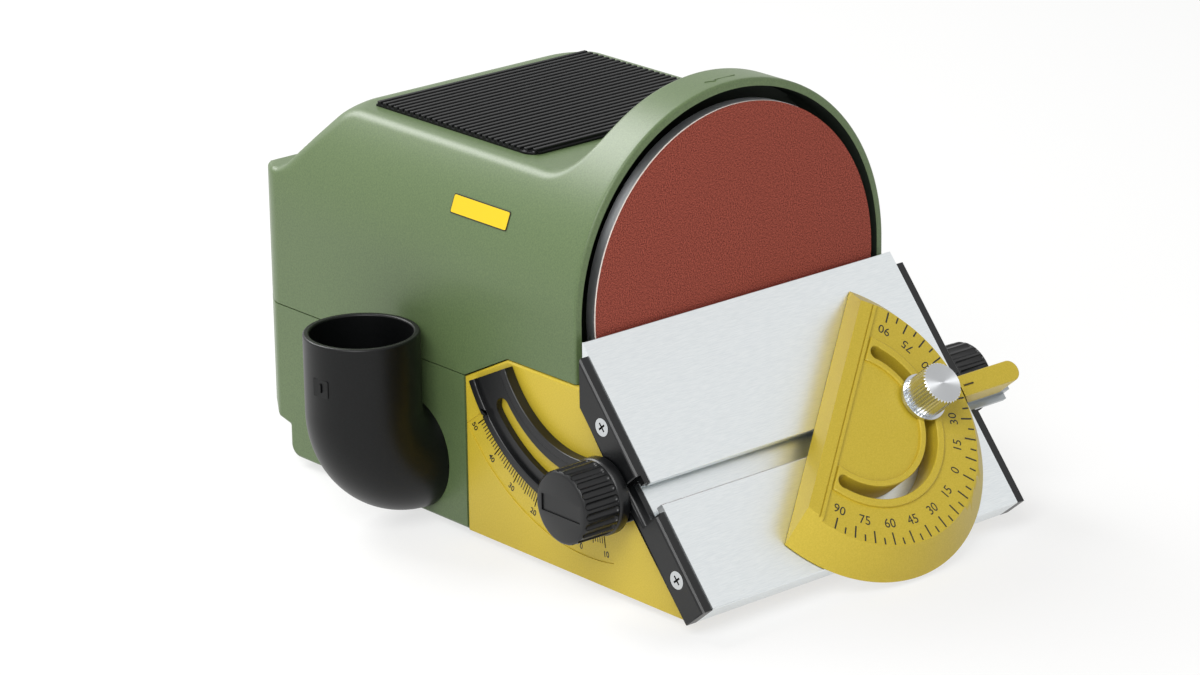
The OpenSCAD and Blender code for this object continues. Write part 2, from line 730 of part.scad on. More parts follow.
// Rocker key of the switch, pressed in at its lower end
module switch_rocker() color("black") translate([half_w - 1, switch_y, control_h]) {
    w = switch_w - 4 * switch_frame - 0.6;
    h = switch_h - 4 * switch_frame - 1.6;
    rotate([0, rocker_tilt, 0]) intersection() {
        translate([-2, -w / 2, -h / 2]) cube([6, w, h]);
        difference() {
            along_y(-w, w) translate([0, 0]) circle(h);
            translate([h * 1.45, 0, 0]) rotate([90, 0, 0]) cylinder(r = h * 1.15, h = 4 * w, center = true);
        }
    }
    rod_x_pin = 1.2;
    translate([0, -w / 2 - 0.25, 0]) rod_y(rod_x_pin, 0, w + 0.5);
}

// Fluted speed dial on the right wall
module speed_dial() color("black") translate([half_w + 0.5, dial_y, control_h]) difference() {
    union() {
        rod_x(dial_d / 2, 0, 2);
        rotate([0, 90, 0]) linear_extrude(height = dial_h) difference() {
            circle(dial_d / 2 - 1.5);
            for (i = [0:17]) rotate(i * 20) translate([dial_d / 2 - 1.2, 0]) circle(0.9);
        }
    }
    rod_x(3.5 + turn_gap, -1, 4);
    translate([dial_h - 0.6, -0.6, 2]) cube([2, 1.2, dial_d / 2 - 5]);
}

// Short cable gland on the rear wall
module cable_gland() color("black") translate([gland_x, body_l, gland_h]) difference() {
    union() {
        rod_y(gland_r - 2.05, -wall - 2, eps);
        rod_y(gland_r, 0, 2);
        translate([0, 2 - eps, 0]) rotate([-90, 0, 0]) cylinder(r = gland_r - 0.8, h = 4, $fn = 6);
    }
    rod_y(3, -wall - 3, 7);
}

// Brass inserts in the side bosses that the clamp studs screw into
module clamp_inserts() color("gold") both_sides() translate([0, stud_y, stud_h]) difference() {
    rod_x(insert_r, insert_in, half_w - wall);
    rod_x(stud_d / 2 + turn_gap, insert_in - 1, half_w);
}

// Abrasive disc stuck on the backing disc
module sanding_disc() color("brown") at_axis() rod_y(disc_d / 2, 0, abrasive_t);

// Turned aluminium backing disc with its hub
module backing_disc() color("silver") at_axis() difference() {
    union() {
        rod_y(plate_r, abrasive_t, plate_back);
        rod_y(hub_r, plate_back - eps, plate_back + hub_l);
    }
    rod_y(shaft_r, plate_back, plate_back + hub_l + 1);
    for (k = [0:1]) translate([0, plate_back - 0.8, 0]) difference() {
        rod_y(plate_r - 6 - 18 * k, 0, 1);
        rod_y(plate_r - 12 - 18 * k, -1, 2);
    }
    translate([0, plate_back + hub_l / 2, 0]) cylinder(r = 2, h = hub_r + 1);
}

// Grub screw that holds the hub on the shaft
module hub_set_screw() color("dimgray") translate([0, plate_back + hub_l / 2, axis_h + shaft_r])
    difference() {
        cylinder(r = 1.95, h = hub_r - shaft_r - 1);
        translate([0, 0, hub_r - shaft_r - 3]) cylinder(r = 1.15, h = 3, $fn = 6);
    }

// Motor shaft from the hub to the fan
module motor_shaft() color("silver") at_axis() rod_y(shaft_r, shaft_front, shaft_end);

// Slotted iron core of the armature
module armature_core() color("dimgray") at_axis() difference() {
    along_y(core_y, core_y + core_l) difference() {
        circle(core_r);
        for (i = [0:11]) rotate(i * 30) {
            translate([core_r - 5.5, 0]) circle(2.4);
            translate([core_r - 5.5, -0.8]) square([8, 1.6]);
        }
    }
    rod_y(shaft_r, core_y - 1, core_y + core_l + 1);
}

// Copper end turns on both sides of the core
module armature_windings() color("peru") at_axis() for (y = [core_y - winding_l, core_y + core_l])
    rotate([-90, 0, 0]) translate([0, 0, y]) rotate_extrude() {
        translate([shaft_r, 0]) square([core_r - winding_l - 3 - shaft_r, winding_l]);
        translate([core_r - winding_l - 3, winding_l / 2]) circle(winding_l / 2);
    }

// Copper commutator with its segments
module commutator() color("sandybrown") at_axis() difference() {
    rod_y(comm_r, comm_y, comm_y + comm_l);
    rod_y(shaft_r, comm_y - 1, comm_y + comm_l + 1);
    for (i = [0:11]) rotate([0, i * 30, 0]) translate([comm_r - 0.8, comm_y - 1, -0.25]) cube([2, comm_l + 2, 0.5]);
}

// Cooling fan behind the motor
module cooling_fan() color("black") at_axis() translate([0, fan_y, 0]) difference() {
    union() {
        rod_y(fan_r, 0, 1.6);
        along_y(1, fan_l) {
            circle(shaft_r + 4);
            for (i = [0:8]) rotate(i * 40) translate([shaft_r + 2, -0.8]) square([fan_r - shaft_r - 4, 1.6]);
        }
    }
    rod_y(shaft_r, -1, fan_l + 1);
}

// Section of the table's aluminium extrusion, drawn in Y and Z of the table's frame
module table_section() {
    slant = table_t * tan(rest_tilt);
    skin = 3;
    foot_z = -groove_neck - groove_foot;
    web = groove_foot_w / 2 + skin;
    difference() {
        polygon([[0, 0], [-slant, -table_t], [-table_l, -table_t], [-table_l, 0]]);
        translate([-groove_d - groove_w / 2, -groove_neck - eps]) square([groove_w, table_t]);
        translate([-groove_d - groove_foot_w / 2, foot_z]) square([groove_foot_w, groove_foot]);
        for (span = [[-bracket_screw_d[0] + 4.5, -slant - skin], [-groove_d + web, -bracket_screw_d[0] - 4.5],
                     [-bracket_screw_d[1] + 4.5, -groove_d - web], [-table_l + skin, -bracket_screw_d[1] - 4.5]])
            translate([span[0], -table_t + skin]) square([span[1] - span[0], table_t - 2 * skin]);
        for (d = bracket_screw_d) translate([-d, -bracket_screw_drop]) circle(screw_r + 0.05);
    }
}

// Tilting table with its groove for the mitre gauge
module table() color("lightgray") on_table() along_x(-table_w / 2, table_w / 2) table_section();

// End bracket on the right of the table, with the slotted quadrant
module bracket() on_table() difference() {
    slant = (table_t - bracket_top_gap) * tan(rest_tilt);
    union() {
        along_x(table_w / 2, bracket_out) polygon([[-bracket_back_d, -bracket_top_gap],
            [-bracket_back_d - slant, -table_t], [-table_l, -table_t], [-table_l, -bracket_top_gap]]);
        sector_x(arc_r - arc_w / 2, arc_r + arc_w / 2, arc_in, arc_in + arc_floor_t, -172, arc_tip_angle);
        for (r = [arc_r - arc_w / 2, arc_r + arc_w / 2 - arc_rib])
            sector_x(r, r + arc_rib, arc_in, bracket_out, -172, arc_tip_angle);
    }
    translate([bracket_out, -table_l / 2, -bracket_top_gap]) rotate([0, 45, 0])
        cube([bracket_edge, 2 * table_l, bracket_edge], center = true);
    translate([table_w / 2 - 1, -groove_d - groove_foot_w / 2 - 0.4, -groove_neck - groove_foot - 0.2]) {
        cube([bracket_t + 2, groove_foot_w + 0.8, groove_foot + 0.6]);
        cube([bracket_t + 2, (groove_foot_w + groove_w) / 2 + 0.8, table_t]);
    }
    translate([bracket_out - 2, -groove_d - notch_w / 2, -groove_neck - groove_foot - 3])
        cube([bracket_t, notch_w, table_t]);
    sector_x(arc_r - slot_w / 2, arc_r + slot_w / 2, arc_in - 1, bracket_out + 1, slot_first_angle, slot_last_angle);
    for (a = [slot_first_angle, slot_last_angle]) rotate([a, 0, 0]) translate([0, arc_r, 0])
        rod_x(slot_w / 2, arc_in - 1, bracket_out + 1);
    sector_x(arc_r + arc_w / 2 - arc_rib, arc_r + arc_w / 2 + 1, bracket_out - 0.5, bracket_out + 1,
        arc_mark_angle - 0.3, arc_mark_angle + 0.3);
    for (d = bracket_screw_d) translate([bracket_out, -d, -bracket_screw_drop]) mirror([1, 0, 0]) {
        rotate([0, 90, 0]) translate([0, 0, -eps])
            cylinder(r1 = screw_head_r + 0.1, r2 = screw_r + 0.1, h = screw_head_r - screw_r + eps);
        rod_x(screw_r + 0.1, -1, bracket_t + 1);
    }
}

module left_bracket() color("black") mirror([1, 0, 0]) bracket();

module right_bracket() color("black") bracket();

// Countersunk screws that hold the brackets on the table's ends
module bracket_screws() color("silver") on_table() both_sides() for (d = bracket_screw_d)
    translate([bracket_out, -d, -bracket_screw_drop]) mirror([1, 0, 0]) countersunk_screw(bracket_t + 9);

// Fluted clamp knob on the right, with a plain sunk panel on its face
module knob() translate([knob_back, stud_y, stud_h]) difference() {
    collar = 4;
    union() {
        rod_x(knob_d / 2, 0, collar);
        along_x(collar - 1, knob_l) difference() {
            circle(knob_d / 2 - 0.4);
            for (i = [0:knob_flutes - 1]) rotate(i * 360 / knob_flutes) translate([knob_d / 2 - 0.2, 0]) circle(1.15);
        }
    }
    translate([knob_l - 0.6, -knob_d * 0.36, -knob_d * 0.11]) cube([1, knob_d * 0.72, knob_d * 0.22]);
    rod_x(stud_d / 2, -1, knob_l - 5);
}

module left_knob() color("black") mirror([1, 0, 0]) knob();

module right_knob() color("black") knob();

// Steel stud moulded into the right clamp knob
module stud() translate([0, stud_y, stud_h]) rod_x(stud_d / 2, insert_in - 2, knob_back + knob_l - 5);

module left_stud() color("silver") mirror([1, 0, 0]) stud();

module right_stud() color("silver") stud();

// Aluminium guide bar that runs in the table's groove
module guide_bar() color("silver") on_table() difference() {
    foot_top = -groove_neck - slide_gap;
    foot_low = -groove_neck - groove_foot + slide_gap;
    union() {
        translate([bar_left, -groove_d - bar_neck_w / 2, foot_top - eps])
            cube([arm_tip + 1.5 - bar_left, bar_neck_w, -foot_top + eps]);
        translate([bar_left, -groove_d - bar_foot_w / 2, foot_low])
            cube([arm_tip + 1.5 - bar_left, bar_foot_w, foot_top - foot_low]);
    }
    translate([gauge_x, -groove_d, foot_low - 1]) cylinder(r = pin_r, h = table_t);
    translate([gauge_x + gauge_slot_r, -groove_d, foot_low - 1])
        cylinder(r = thumb_stud_r + turn_gap, h = table_t);
}

// Yellow pointer arm on the guide bar, hollowed to the protractor's flared wall
module pointer_arm() color("goldenrod") on_gauge() difference() {
    reach = arm_tip - gauge_x;
    tip_r = bar_neck_w / 2;
    union() {
        linear_extrude(height = gauge_lift + protractor_h) {
            translate([0, -tip_r]) square([reach - tip_r, 2 * tip_r]);
            translate([reach - tip_r, 0]) circle(tip_r);
        }
    }
    translate([0, 0, gauge_lift - 1]) cylinder(r1 = protractor_r + protractor_flare * (1 + 1 / protractor_h) + 0.5,
        r2 = protractor_r - protractor_flare / protractor_h + 0.5, h = protractor_h + 2);
    translate([protractor_r + 2, -0.2, gauge_lift + protractor_h - 0.4]) cube([4.6, 0.4, 1]);
}

// Steel pin in the guide bar that the protractor turns on
module gauge_pin() color("silver") on_gauge()
    translate([0, 0, -groove_neck - groove_foot + slide_gap]) cylinder(r = pin_r, h = groove_neck + groove_foot + 6.5);

// Flat ring sector that opens backwards, with the given half angle
module ring_sector(r0, r1, half_angle) difference() {
    far = 3 * r1;
    circle(r1);
    circle(r0);
    polygon([[0, 0], [far * cos(half_angle), far * sin(half_angle)], [-far, far], [-far, -far],
        [far * cos(half_angle), -far * sin(half_angle)]]);
}

// Raised ring round the clamping slot, ended parallel to the fence
module raised_ring() difference() {
    circle(ring_out);
    circle(ring_in);
    translate([-ring_end - 2 * ring_out, -ring_out]) square(2 * ring_out);
}

// Yellow protractor with its fence, scale face, raised ring and clamping slot
module protractor() color("goldenrod") on_gauge() translate([0, 0, gauge_lift]) rotate([0, 0, -gauge_angle])
    difference() {
        wide = protractor_r + protractor_flare;
        pocket_h = protractor_h - 2.5;
        top_r = protractor_r - protractor_flare * ring_rise / protractor_h;
        cylinder(r1 = wide, r2 = top_r, h = protractor_h + ring_rise);
        translate([0, 0, protractor_h]) linear_extrude(height = 2 * ring_rise) difference() {
            translate([fence_strip - fence_back, -wide]) square(2 * wide);
            raised_ring();
        }
        translate([fence_strip * 0.72 - fence_back, -wide, protractor_h + ring_rise / 2]) cube([0.5, 2 * wide, 2]);
        translate([-2 * wide - fence_back, -wide, -1]) cube([2 * wide, 2 * wide, protractor_h + 4]);
        translate([0, 0, -1]) linear_extrude(height = protractor_h + 4)
            ring_sector(gauge_slot_r - gauge_slot_w / 2, gauge_slot_r + gauge_slot_w / 2, slot_sweep);
        for (s = [-1, 1]) rotate([0, 0, s * slot_sweep]) translate([gauge_slot_r, 0, -1])
            cylinder(r = gauge_slot_w / 2 + 0.15, h = protractor_h + 4);
        translate([0, 0, -1]) cylinder(r = pin_r + turn_gap, h = 7.6);
        translate([0, 0, -1]) linear_extrude(height = pocket_h + 1) {
            ring_sector(ring_out + 1, protractor_r - 3, 80);
            ring_sector(pin_r + 4, ring_in - 2, 82);
        }
    }

// Knurled thumb screw that clamps the protractor to the guide bar
module thumb_screw() color("silver") on_gauge() translate([gauge_slot_r, 0, 0]) {
    head_low = thumb_foot + thumb_washer_t;
    points = [for (i = [0:2 * knurls - 1]) let (r = thumb_d / 2 - (i % 2) * 0.4, a = i * 180 / knurls)
        [r * cos(a), r * sin(a)]];
    translate([0, 0, -groove_neck - 2]) cylinder(r = thumb_stud_r, h = head_low + groove_neck + 2 + eps);
    translate([0, 0, head_low]) cylinder(r = thumb_d / 2 - 0.8, h = thumb_h);
    translate([0, 0, head_low + 0.6]) linear_extrude(height = thumb_h - 1.2) polygon(points);
}

// Washer between the thumb screw and the protractor's ring
module thumb_washer() color("silver") on_gauge() translate([gauge_slot_r, 0, thumb_foot]) difference() {
    cylinder(r = thumb_washer_r, h = thumb_washer_t);
    translate([0, 0, -1]) cylinder(r = thumb_stud_r, h = thumb_washer_t + 2);
}

upper_housing();
lower_housing();
front_housing();
top_mat();
dust_elbow();
dust_duct();
rubber_feet();
housing_screws();
motor_can();
motor_magnets();
front_end_plate();
rear_end_plate();
front_bearing();
rear_bearing();
brush_holders();
carbon_brushes();
motor_screws();
control_board();
speed_pot();
switch_frame();
switch_rocker();
speed_dial();
cable_gland();
clamp_inserts();
sanding_disc();
backing_disc();
hub_set_screw();
motor_shaft();
armature_core();
armature_windings();
commutator();
cooling_fan();
table();
left_bracket();
right_bracket();
bracket_screws();
left_knob();
left_stud();
right_knob();
right_stud();
guide_bar();
pointer_arm();
gauge_pin();
protractor();
thumb_screw();
thumb_washer();
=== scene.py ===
"""Benchtop disc sander: finishes, softened edges, scales and studio round its solid model."""
import json
import math

import bmesh
import bpy
import numpy as np
from mathutils import Matrix, Vector


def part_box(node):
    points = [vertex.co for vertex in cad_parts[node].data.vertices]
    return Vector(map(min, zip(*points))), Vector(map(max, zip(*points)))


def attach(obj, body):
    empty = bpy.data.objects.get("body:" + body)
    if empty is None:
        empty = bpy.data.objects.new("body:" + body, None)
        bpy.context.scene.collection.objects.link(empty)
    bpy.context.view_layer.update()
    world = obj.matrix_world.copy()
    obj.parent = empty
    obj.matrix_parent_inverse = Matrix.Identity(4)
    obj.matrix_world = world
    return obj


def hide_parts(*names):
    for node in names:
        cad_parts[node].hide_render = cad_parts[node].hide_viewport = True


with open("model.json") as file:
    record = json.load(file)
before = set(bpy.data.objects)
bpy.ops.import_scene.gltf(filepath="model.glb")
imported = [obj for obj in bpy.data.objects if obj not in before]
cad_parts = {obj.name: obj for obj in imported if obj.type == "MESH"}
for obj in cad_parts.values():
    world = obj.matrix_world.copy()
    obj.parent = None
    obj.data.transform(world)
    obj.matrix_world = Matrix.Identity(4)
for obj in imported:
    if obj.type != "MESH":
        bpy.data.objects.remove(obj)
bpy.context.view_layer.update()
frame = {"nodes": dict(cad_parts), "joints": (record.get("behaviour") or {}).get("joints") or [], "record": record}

MM = 0.001
X_AXIS, Y_AXIS, Z_AXIS = Vector((1, 0, 0)), Vector((0, 1, 0)), Vector((0, 0, 1))
nodes = frame["nodes"]
joints = {j["name"]: j for j in frame["joints"]}
body_of = {n: b for b, members in frame["record"]["behaviour"]["bodies"].items() for n in members}
slot_of = {s["node"]: s["material_slot"] for s in frame["record"]["subparts"]}

# Places taken from the joints of the solid model
disc_centre = Vector(joints["disc_spin"]["pos_m"])
tilt_axis = Vector(joints["table_tilt"]["pos_m"])
gauge_centre = Vector(joints["gauge_swivel"]["pos_m"])
thumb_centre = Vector(joints["thumb_turn"]["pos_m"])
table_normal = Vector(joints["gauge_swivel"]["axis"])
rest_tilt = math.atan2(-table_normal.y, table_normal.z)


def frame_at(place, right, normal):
    """Matrix of a flat drawing whose x runs to the right and whose z stands out of the surface."""
    right, normal = right.normalized(), normal.normalized()
    matrix = Matrix((right, normal.cross(right), normal)).transposed().to_4x4()
    matrix.translation = place
    return matrix


def linear(hex_colour):
    """Linear RGBA of an sRGB hex colour."""
    parts = [int(hex_colour[i:i + 2], 16) / 255 for i in (1, 3, 5)]
    return [c / 12.92 if c <= 0.04045 else ((c + 0.055) / 1.055) ** 2.4 for c in parts] + [1]


def add_node(tree, kind, sockets=None, **settings):
    """Adds a node with its settings; sockets gives each input a value or the output it is linked from."""
    made = tree.nodes.new(kind)
    for name, value in settings.items():
        setattr(made, name, value)
    for socket, value in (sockets or {}).items():
        if isinstance(value, bpy.types.NodeSocket):
            tree.links.new(value, made.inputs[socket])
        else:
            made.inputs[socket].default_value = value
    return made


# Finishes. Grain, rings and relief are given in mm.
# Distance from crest to crest of a wave texture at scale 1
WAVE_LENGTH = 2 * math.pi / 20
# How far the grooves of a lathe draw a highlight out, from 0 to 1
LATHE_DRAW = 0.9


def new_material(name):
    """Empty material, with its tree."""
    material = bpy.data.materials.new(name)
    material.use_nodes = True
    material.node_tree.nodes.clear()
    return material, material.node_tree


def show(tree, shader):
    """Makes a shader the surface that the material shows."""
    add_node(tree, "ShaderNodeOutputMaterial", {"Surface": shader.outputs[0]})


def object_place(tree):
    """Output with the place on the object, in its own coordinates."""
    return add_node(tree, "ShaderNodeTexCoord").outputs["Object"]


def relief(tree, height, depth_mm):
    """Output with the normal of a surface whose relief follows a height."""
    bump = add_node(tree, "ShaderNodeBump", {"Strength": 1.0, "Distance": depth_mm * MM, "Height": height})
    return bump.outputs["Normal"]


def lathe_metal(tree, colour, roughness, along, sockets):
    """Shows metal cut on a lathe, whose highlight is drawn out along a direction of the object."""
    drawn_out = add_node(tree, "ShaderNodeVectorTransform", {"Vector": along}, vector_type="VECTOR",
                         convert_from="OBJECT", convert_to="WORLD")
    show(tree, add_node(tree, "ShaderNodeBsdfPrincipled", {
        "Base Color": linear(colour), "Metallic": 1.0, "Roughness": roughness, "Anisotropic": LATHE_DRAW,
        "Tangent": drawn_out.outputs[0], **sockets}))


def plain(name, colour, roughness, metallic=0.0):
    """Even finish with nothing on it that the eye could follow."""
    material, tree = new_material(name)
    show(tree, add_node(tree, "ShaderNodeBsdfPrincipled", {
        "Base Color": linear(colour), "Roughness": roughness, "Metallic": metallic}))
    return material


def grained(name, dark, light, roughness, grain_mm, depth_mm, metallic=0.0, specular=0.5,
            stretch=(1, 1, 1), spread=(0.35, 0.65)):
    """Finish whose colour and relief follow one noise of the given grain, stretched along the axes."""
    material, tree = new_material(name)
    stretched = add_node(tree, "ShaderNodeMapping", {"Vector": object_place(tree), "Scale": stretch})
    noise = add_node(tree, "ShaderNodeTexNoise", {
        "Vector": stretched.outputs[0], "Scale": 1 / (grain_mm * MM), "Detail": 3.0, "Roughness": 0.6})
    ramp = add_node(tree, "ShaderNodeValToRGB", {"Fac": noise.outputs["Fac"]})
    for stop, where, colour in zip(ramp.color_ramp.elements, spread, (dark, light)):
        stop.position, stop.color = where, linear(colour)
    show(tree, add_node(tree, "ShaderNodeBsdfPrincipled", {
        "Base Color": ramp.outputs["Color"], "Roughness": roughness, "Metallic": metallic,
        "Specular IOR Level": specular, "Normal": relief(tree, noise.outputs["Fac"], depth_mm)}))
    return material


def turned_metal(name, colour, roughness, centre, tilt, ring_mm, depth_mm):
    """End face cut on a lathe about the given centre, its axis leaning by tilt about X: fine rings that
    draw the highlight out into two fans."""
    material, tree = new_material(name)
    local = add_node(tree, "ShaderNodeMapping", {
        "Vector": object_place(tree), "Location": centre, "Rotation": (tilt, 0, 0)}, vector_type="TEXTURE")
    rings = add_node(tree, "ShaderNodeTexWave", {
        "Vector": local.outputs[0], "Scale": WAVE_LENGTH / (ring_mm * MM), "Distortion": 0.4,
        "Detail": 2.0}, wave_type="RINGS", rings_direction="Z")
    flat = add_node(tree, "ShaderNodeVectorMath", {0: local.outputs[0], 1: (1, 1, 0)}, operation="MULTIPLY")
    outward = add_node(tree, "ShaderNodeVectorRotate", {
        "Vector": flat.outputs[0], "Angle": tilt}, rotation_type="X_AXIS")
    lathe_metal(tree, colour, roughness, outward.outputs[0], {
        "Normal": relief(tree, rings.outputs["Fac"], depth_mm)})
    return material


def grooved_metal(name, colour, roughness, across):
    """Rim cut on a lathe, whose fine grooves draw the highlight out across them, along the given axis."""
    material, tree = new_material(name)
    axis = add_node(tree, "ShaderNodeCombineXYZ", dict(enumerate(across)))
    lathe_metal(tree, colour, roughness, axis.outputs[0], {})
    return material


# Moulded ABS, spark-eroded: a matt olive green with a pale speckle that breaks up the highlight.
# The grain is drawn at twice its real size so that it shows.
green_abs = grained("green_moulded_abs", "#526541", "#5F724A", 0.40, 0.55, 0.012)
# The same ABS inside the disc chamber, coloured near black: painted shade for the shadow inside the hood.
chamber_painted_shade = plain("abs_painted_chamber_shade", "#172016", 0.7)
# Moulded ABS in mustard yellow with a silky grain.
yellow_abs = grained("yellow_moulded_abs", "#C0A82A", "#CBB338", 0.40, 0.5, 0.008)
# Glass-filled nylon: satin black with a grey sheen.
black_nylon = grained("black_glass_filled_nylon", "#040506", "#0B0C0E", 0.35, 0.5, 0.008, specular=0.45)
# Polypropylene of the dust elbow: deep black, waxy, with less sheen than the nylon.
black_polypropylene = grained("black_polypropylene", "#030404", "#090A0B", 0.38, 0.6, 0.006, specular=0.28)
# Moulded rubber: dull black.
black_rubber = grained("black_moulded_rubber", "#020303", "#090A0B", 0.45, 0.6, 0.008, specular=0.2)
# Aluminium oxide grit bonded to cloth: red-brown, each grain a lighter or darker speck.
# The grit is drawn at 0.45 mm, about twice its real size, so that it shows.
red_abrasive = grained("aluminium_oxide_abrasive", "#4E1C15", "#AE5748", 0.8, 0.45, 0.02, specular=0.2,
                       spread=(0.33, 0.67))
# Extruded aluminium, brushed and anodised clear: pale silver with faint lines along the length.
table_aluminium = grained("anodised_extruded_aluminium", "#E2E7E9", "#ECF0F1", 0.36, 0.25, 0.0005,
                          metallic=1.0, stretch=(0.06, 1, 1))
# Turned aluminium of the thumb screw: bright and clean, its knurl mirrors the yellow round it.
turned_aluminium = plain("turned_aluminium", "#D0D3D5", 0.26, 1.0)
# Turned rim of the backing disc: pale where it faces a lamp, dark where it mirrors the disc chamber.
rim_aluminium = grooved_metal("rim_turned_aluminium", "#CDD0D2", 0.33, Y_AXIS)
# Cut edge of the abrasive's cloth: a thin pale line round the disc.
cut_cloth = plain("cut_abrasive_cloth", "#E9DDD4", 0.8)
# The faced end of the thumb screw, where the lathe's rings open the highlight into two fans.
faced_aluminium = turned_metal("faced_aluminium", "#D2D4D6", 0.55, thumb_centre, rest_tilt, 0.45, 0.003)
# Drawn aluminium of the guide bar: greyer than the table, as it lies in the gauge's shade.
bar_aluminium = plain("drawn_aluminium_bar", "#A3A8AA", 0.32, 1.0)
# Zinc plated steel: bright, slightly blue.
zinc_steel = plain("zinc_plated_steel", "#C9CCCE", 0.25, 1.0)
# Drawn steel of the motor can: grey, dull.
drawn_steel = plain("drawn_steel", "#8F9294", 0.4, 1.0)
# Die-cast alloy: pale grey, rough.
cast_alloy = plain("die_cast_alloy", "#A9ABAC", 0.5, 1.0)
# Sintered ferrite: charcoal grey.
ferrite = plain("sintered_ferrite", "#2A2A2C", 0.6)
# Copper wire and segments: warm and shiny.
copper = plain("enamelled_copper", "#B4693C", 0.3, 1.0)
# Turned brass of the threaded inserts: yellow and shiny.
brass = plain("turned_brass", "#C9A24B", 0.3, 1.0)
# Phenolic resin of the brush holders: dark brown, half matt.
brown_resin = plain("phenolic_resin", "#4A2A1B", 0.5)
# Pressed carbon of the brushes: matt black.
carbon = plain("pressed_carbon", "#151515", 0.6)
# Lacquered glass-fibre board: dark green with a sheen.
green_board = plain("lacquered_circuit_board", "#1E5A37", 0.35)
# Black pad-printed ink of the scales: flat and crisp. The same black fills the screws' cross recesses as painted
# shade.
ink_and_painted_shade = plain("black_print_and_painted_shade", "#15140F", 0.5)
# Yellow enamel of the bare plate on the side: glossy, brighter than the ABS.
yellow_enamel = plain("yellow_enamelled_plate", "#DDBD12", 0.3)

finish_of_slot = {
    "green_plastic": green_abs, "yellow_plastic": yellow_abs, "black_plastic": black_nylon,
    "black_rubber": black_rubber, "zinc_steel": zinc_steel, "motor_steel": drawn_steel, "magnet": ferrite,
    "cast_alloy": cast_alloy, "brown_resin": brown_resin, "carbon": carbon, "circuit_board": green_board,
    "brass": brass, "abrasive": red_abrasive, "turned_aluminium": turned_aluminium, "copper": copper,
    "milled_aluminium": table_aluminium,
}
for name, solid in nodes.items():
    solid.data.materials.clear()
    solid.data.materials.append(finish_of_slot[slot_of[name]])
nodes["guide_bar"].data.materials[0] = bar_aluminium
nodes["dust_elbow"].data.materials[0] = black_polypropylene


def new_object(name, data):
    """Puts an object with the given data in the scene."""
    made = bpy.data.objects.new(name, data)
    bpy.context.scene.collection.objects.link(made)
    return made


def finished_mesh(name, shape):
    """Mesh of a shape that is complete."""
    mesh = bpy.data.meshes.new(name)
    shape.to_mesh(mesh)
    shape.free()
    return mesh


def taken_mesh(maker):
    """Final mesh of an object that was needed only to make it."""
    mesh = bpy.data.meshes.new_from_object(maker.evaluated_get(bpy.context.evaluated_depsgraph_get()))
    bpy.data.objects.remove(maker)
    return mesh


def shade_smooth(mesh, sharp_from):
    """Shades a mesh round, apart from edges of more than sharp_from degrees."""
    for face in mesh.polygons:
        face.use_smooth = True
    mesh.set_sharp_from_angle(angle=math.radians(sharp_from))


def finish_where(mesh, material, chosen):
    """Gives the faces that chosen(face) names a finish of their own."""
    mesh.materials.append(material)
    for face in mesh.polygons:
        face.material_index = 1 if chosen(face) else 0


def add_piece(name, mesh, body, material=None):
    """Puts a finished mesh in the scene as a piece that rides on a body."""
    piece = new_object(name, mesh)
    if material:
        mesh.materials.clear()
        mesh.materials.append(material)
    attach(piece, body)
    return piece


# Points of a solid within this distance are one, and faces within this angle are one flat face
SAME_POINT = 0.002 * MM
SAME_PLANE = math.radians(0.4)
# Edges of a solid that bend by more than this many degrees are sharp
SHARP_FROM = 25


def soften(node, edge_mm=0.0, rounded=None, segments=2):
    """Stands for a solid with a copy. Sharp edges are rounded by edge_mm where rounded() holds for their
    middle, given in mm."""
    mesh = nodes[node].data.copy()
    shape = bmesh.new()
    shape.from_mesh(mesh)
    bmesh.ops.remove_doubles(shape, verts=shape.verts, dist=SAME_POINT)
    bmesh.ops.dissolve_limit(shape, angle_limit=SAME_PLANE, verts=shape.verts, edges=shape.edges)
    weight = shape.edges.layers.float.new("bevel_weight_edge")
    for edge in shape.edges:
        if rounded and edge.calc_face_angle(0) > math.radians(SHARP_FROM):
            middle = (edge.verts[0].co + edge.verts[1].co) / 2 / MM
            edge[weight] = 1.0 if rounded(middle) else 0.0
    shape.to_mesh(mesh)
    shape.free()
    shade_smooth(mesh, SHARP_FROM)
    piece = add_piece(node + "_soft", mesh, body_of[node])
    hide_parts(node)
    if rounded:
        bevel = piece.modifiers.new("rounded_edges", "BEVEL")
        bevel.limit_method = "WEIGHT"
        bevel.width = edge_mm * MM
        bevel.segments = segments
        bevel.use_clamp_overlap = False
    evened = piece.modifiers.new("flat_faces_stay_flat", "WEIGHTED_NORMAL")
    evened.keep_sharp = True
    return piece


# Camera at the place from which the object was photographed, in pixels of a 1200 x 675 picture
PHOTO_W, PHOTO_H = 1200, 675
FOCAL_PIXELS = 4588
DISC_PIXEL = (737.2, 283.3)
VIEW_DISTANCE = 1.539
VIEW_AZIMUTH, VIEW_ELEVATION, VIEW_ROLL = (math.radians(a) for a in (-40.66, 19.08, 0.85))

# Studio: light of the room on the machine, brightness of the surroundings that it mirrors and stands
# before, share of plain white in what the floor shows, and half the floor's width in metres
ROOM_LIGHT = 0.29
SURROUND_LIGHT = 0.9
FLOOR_WHITE = 0.7
FLOOR_HALF = 6


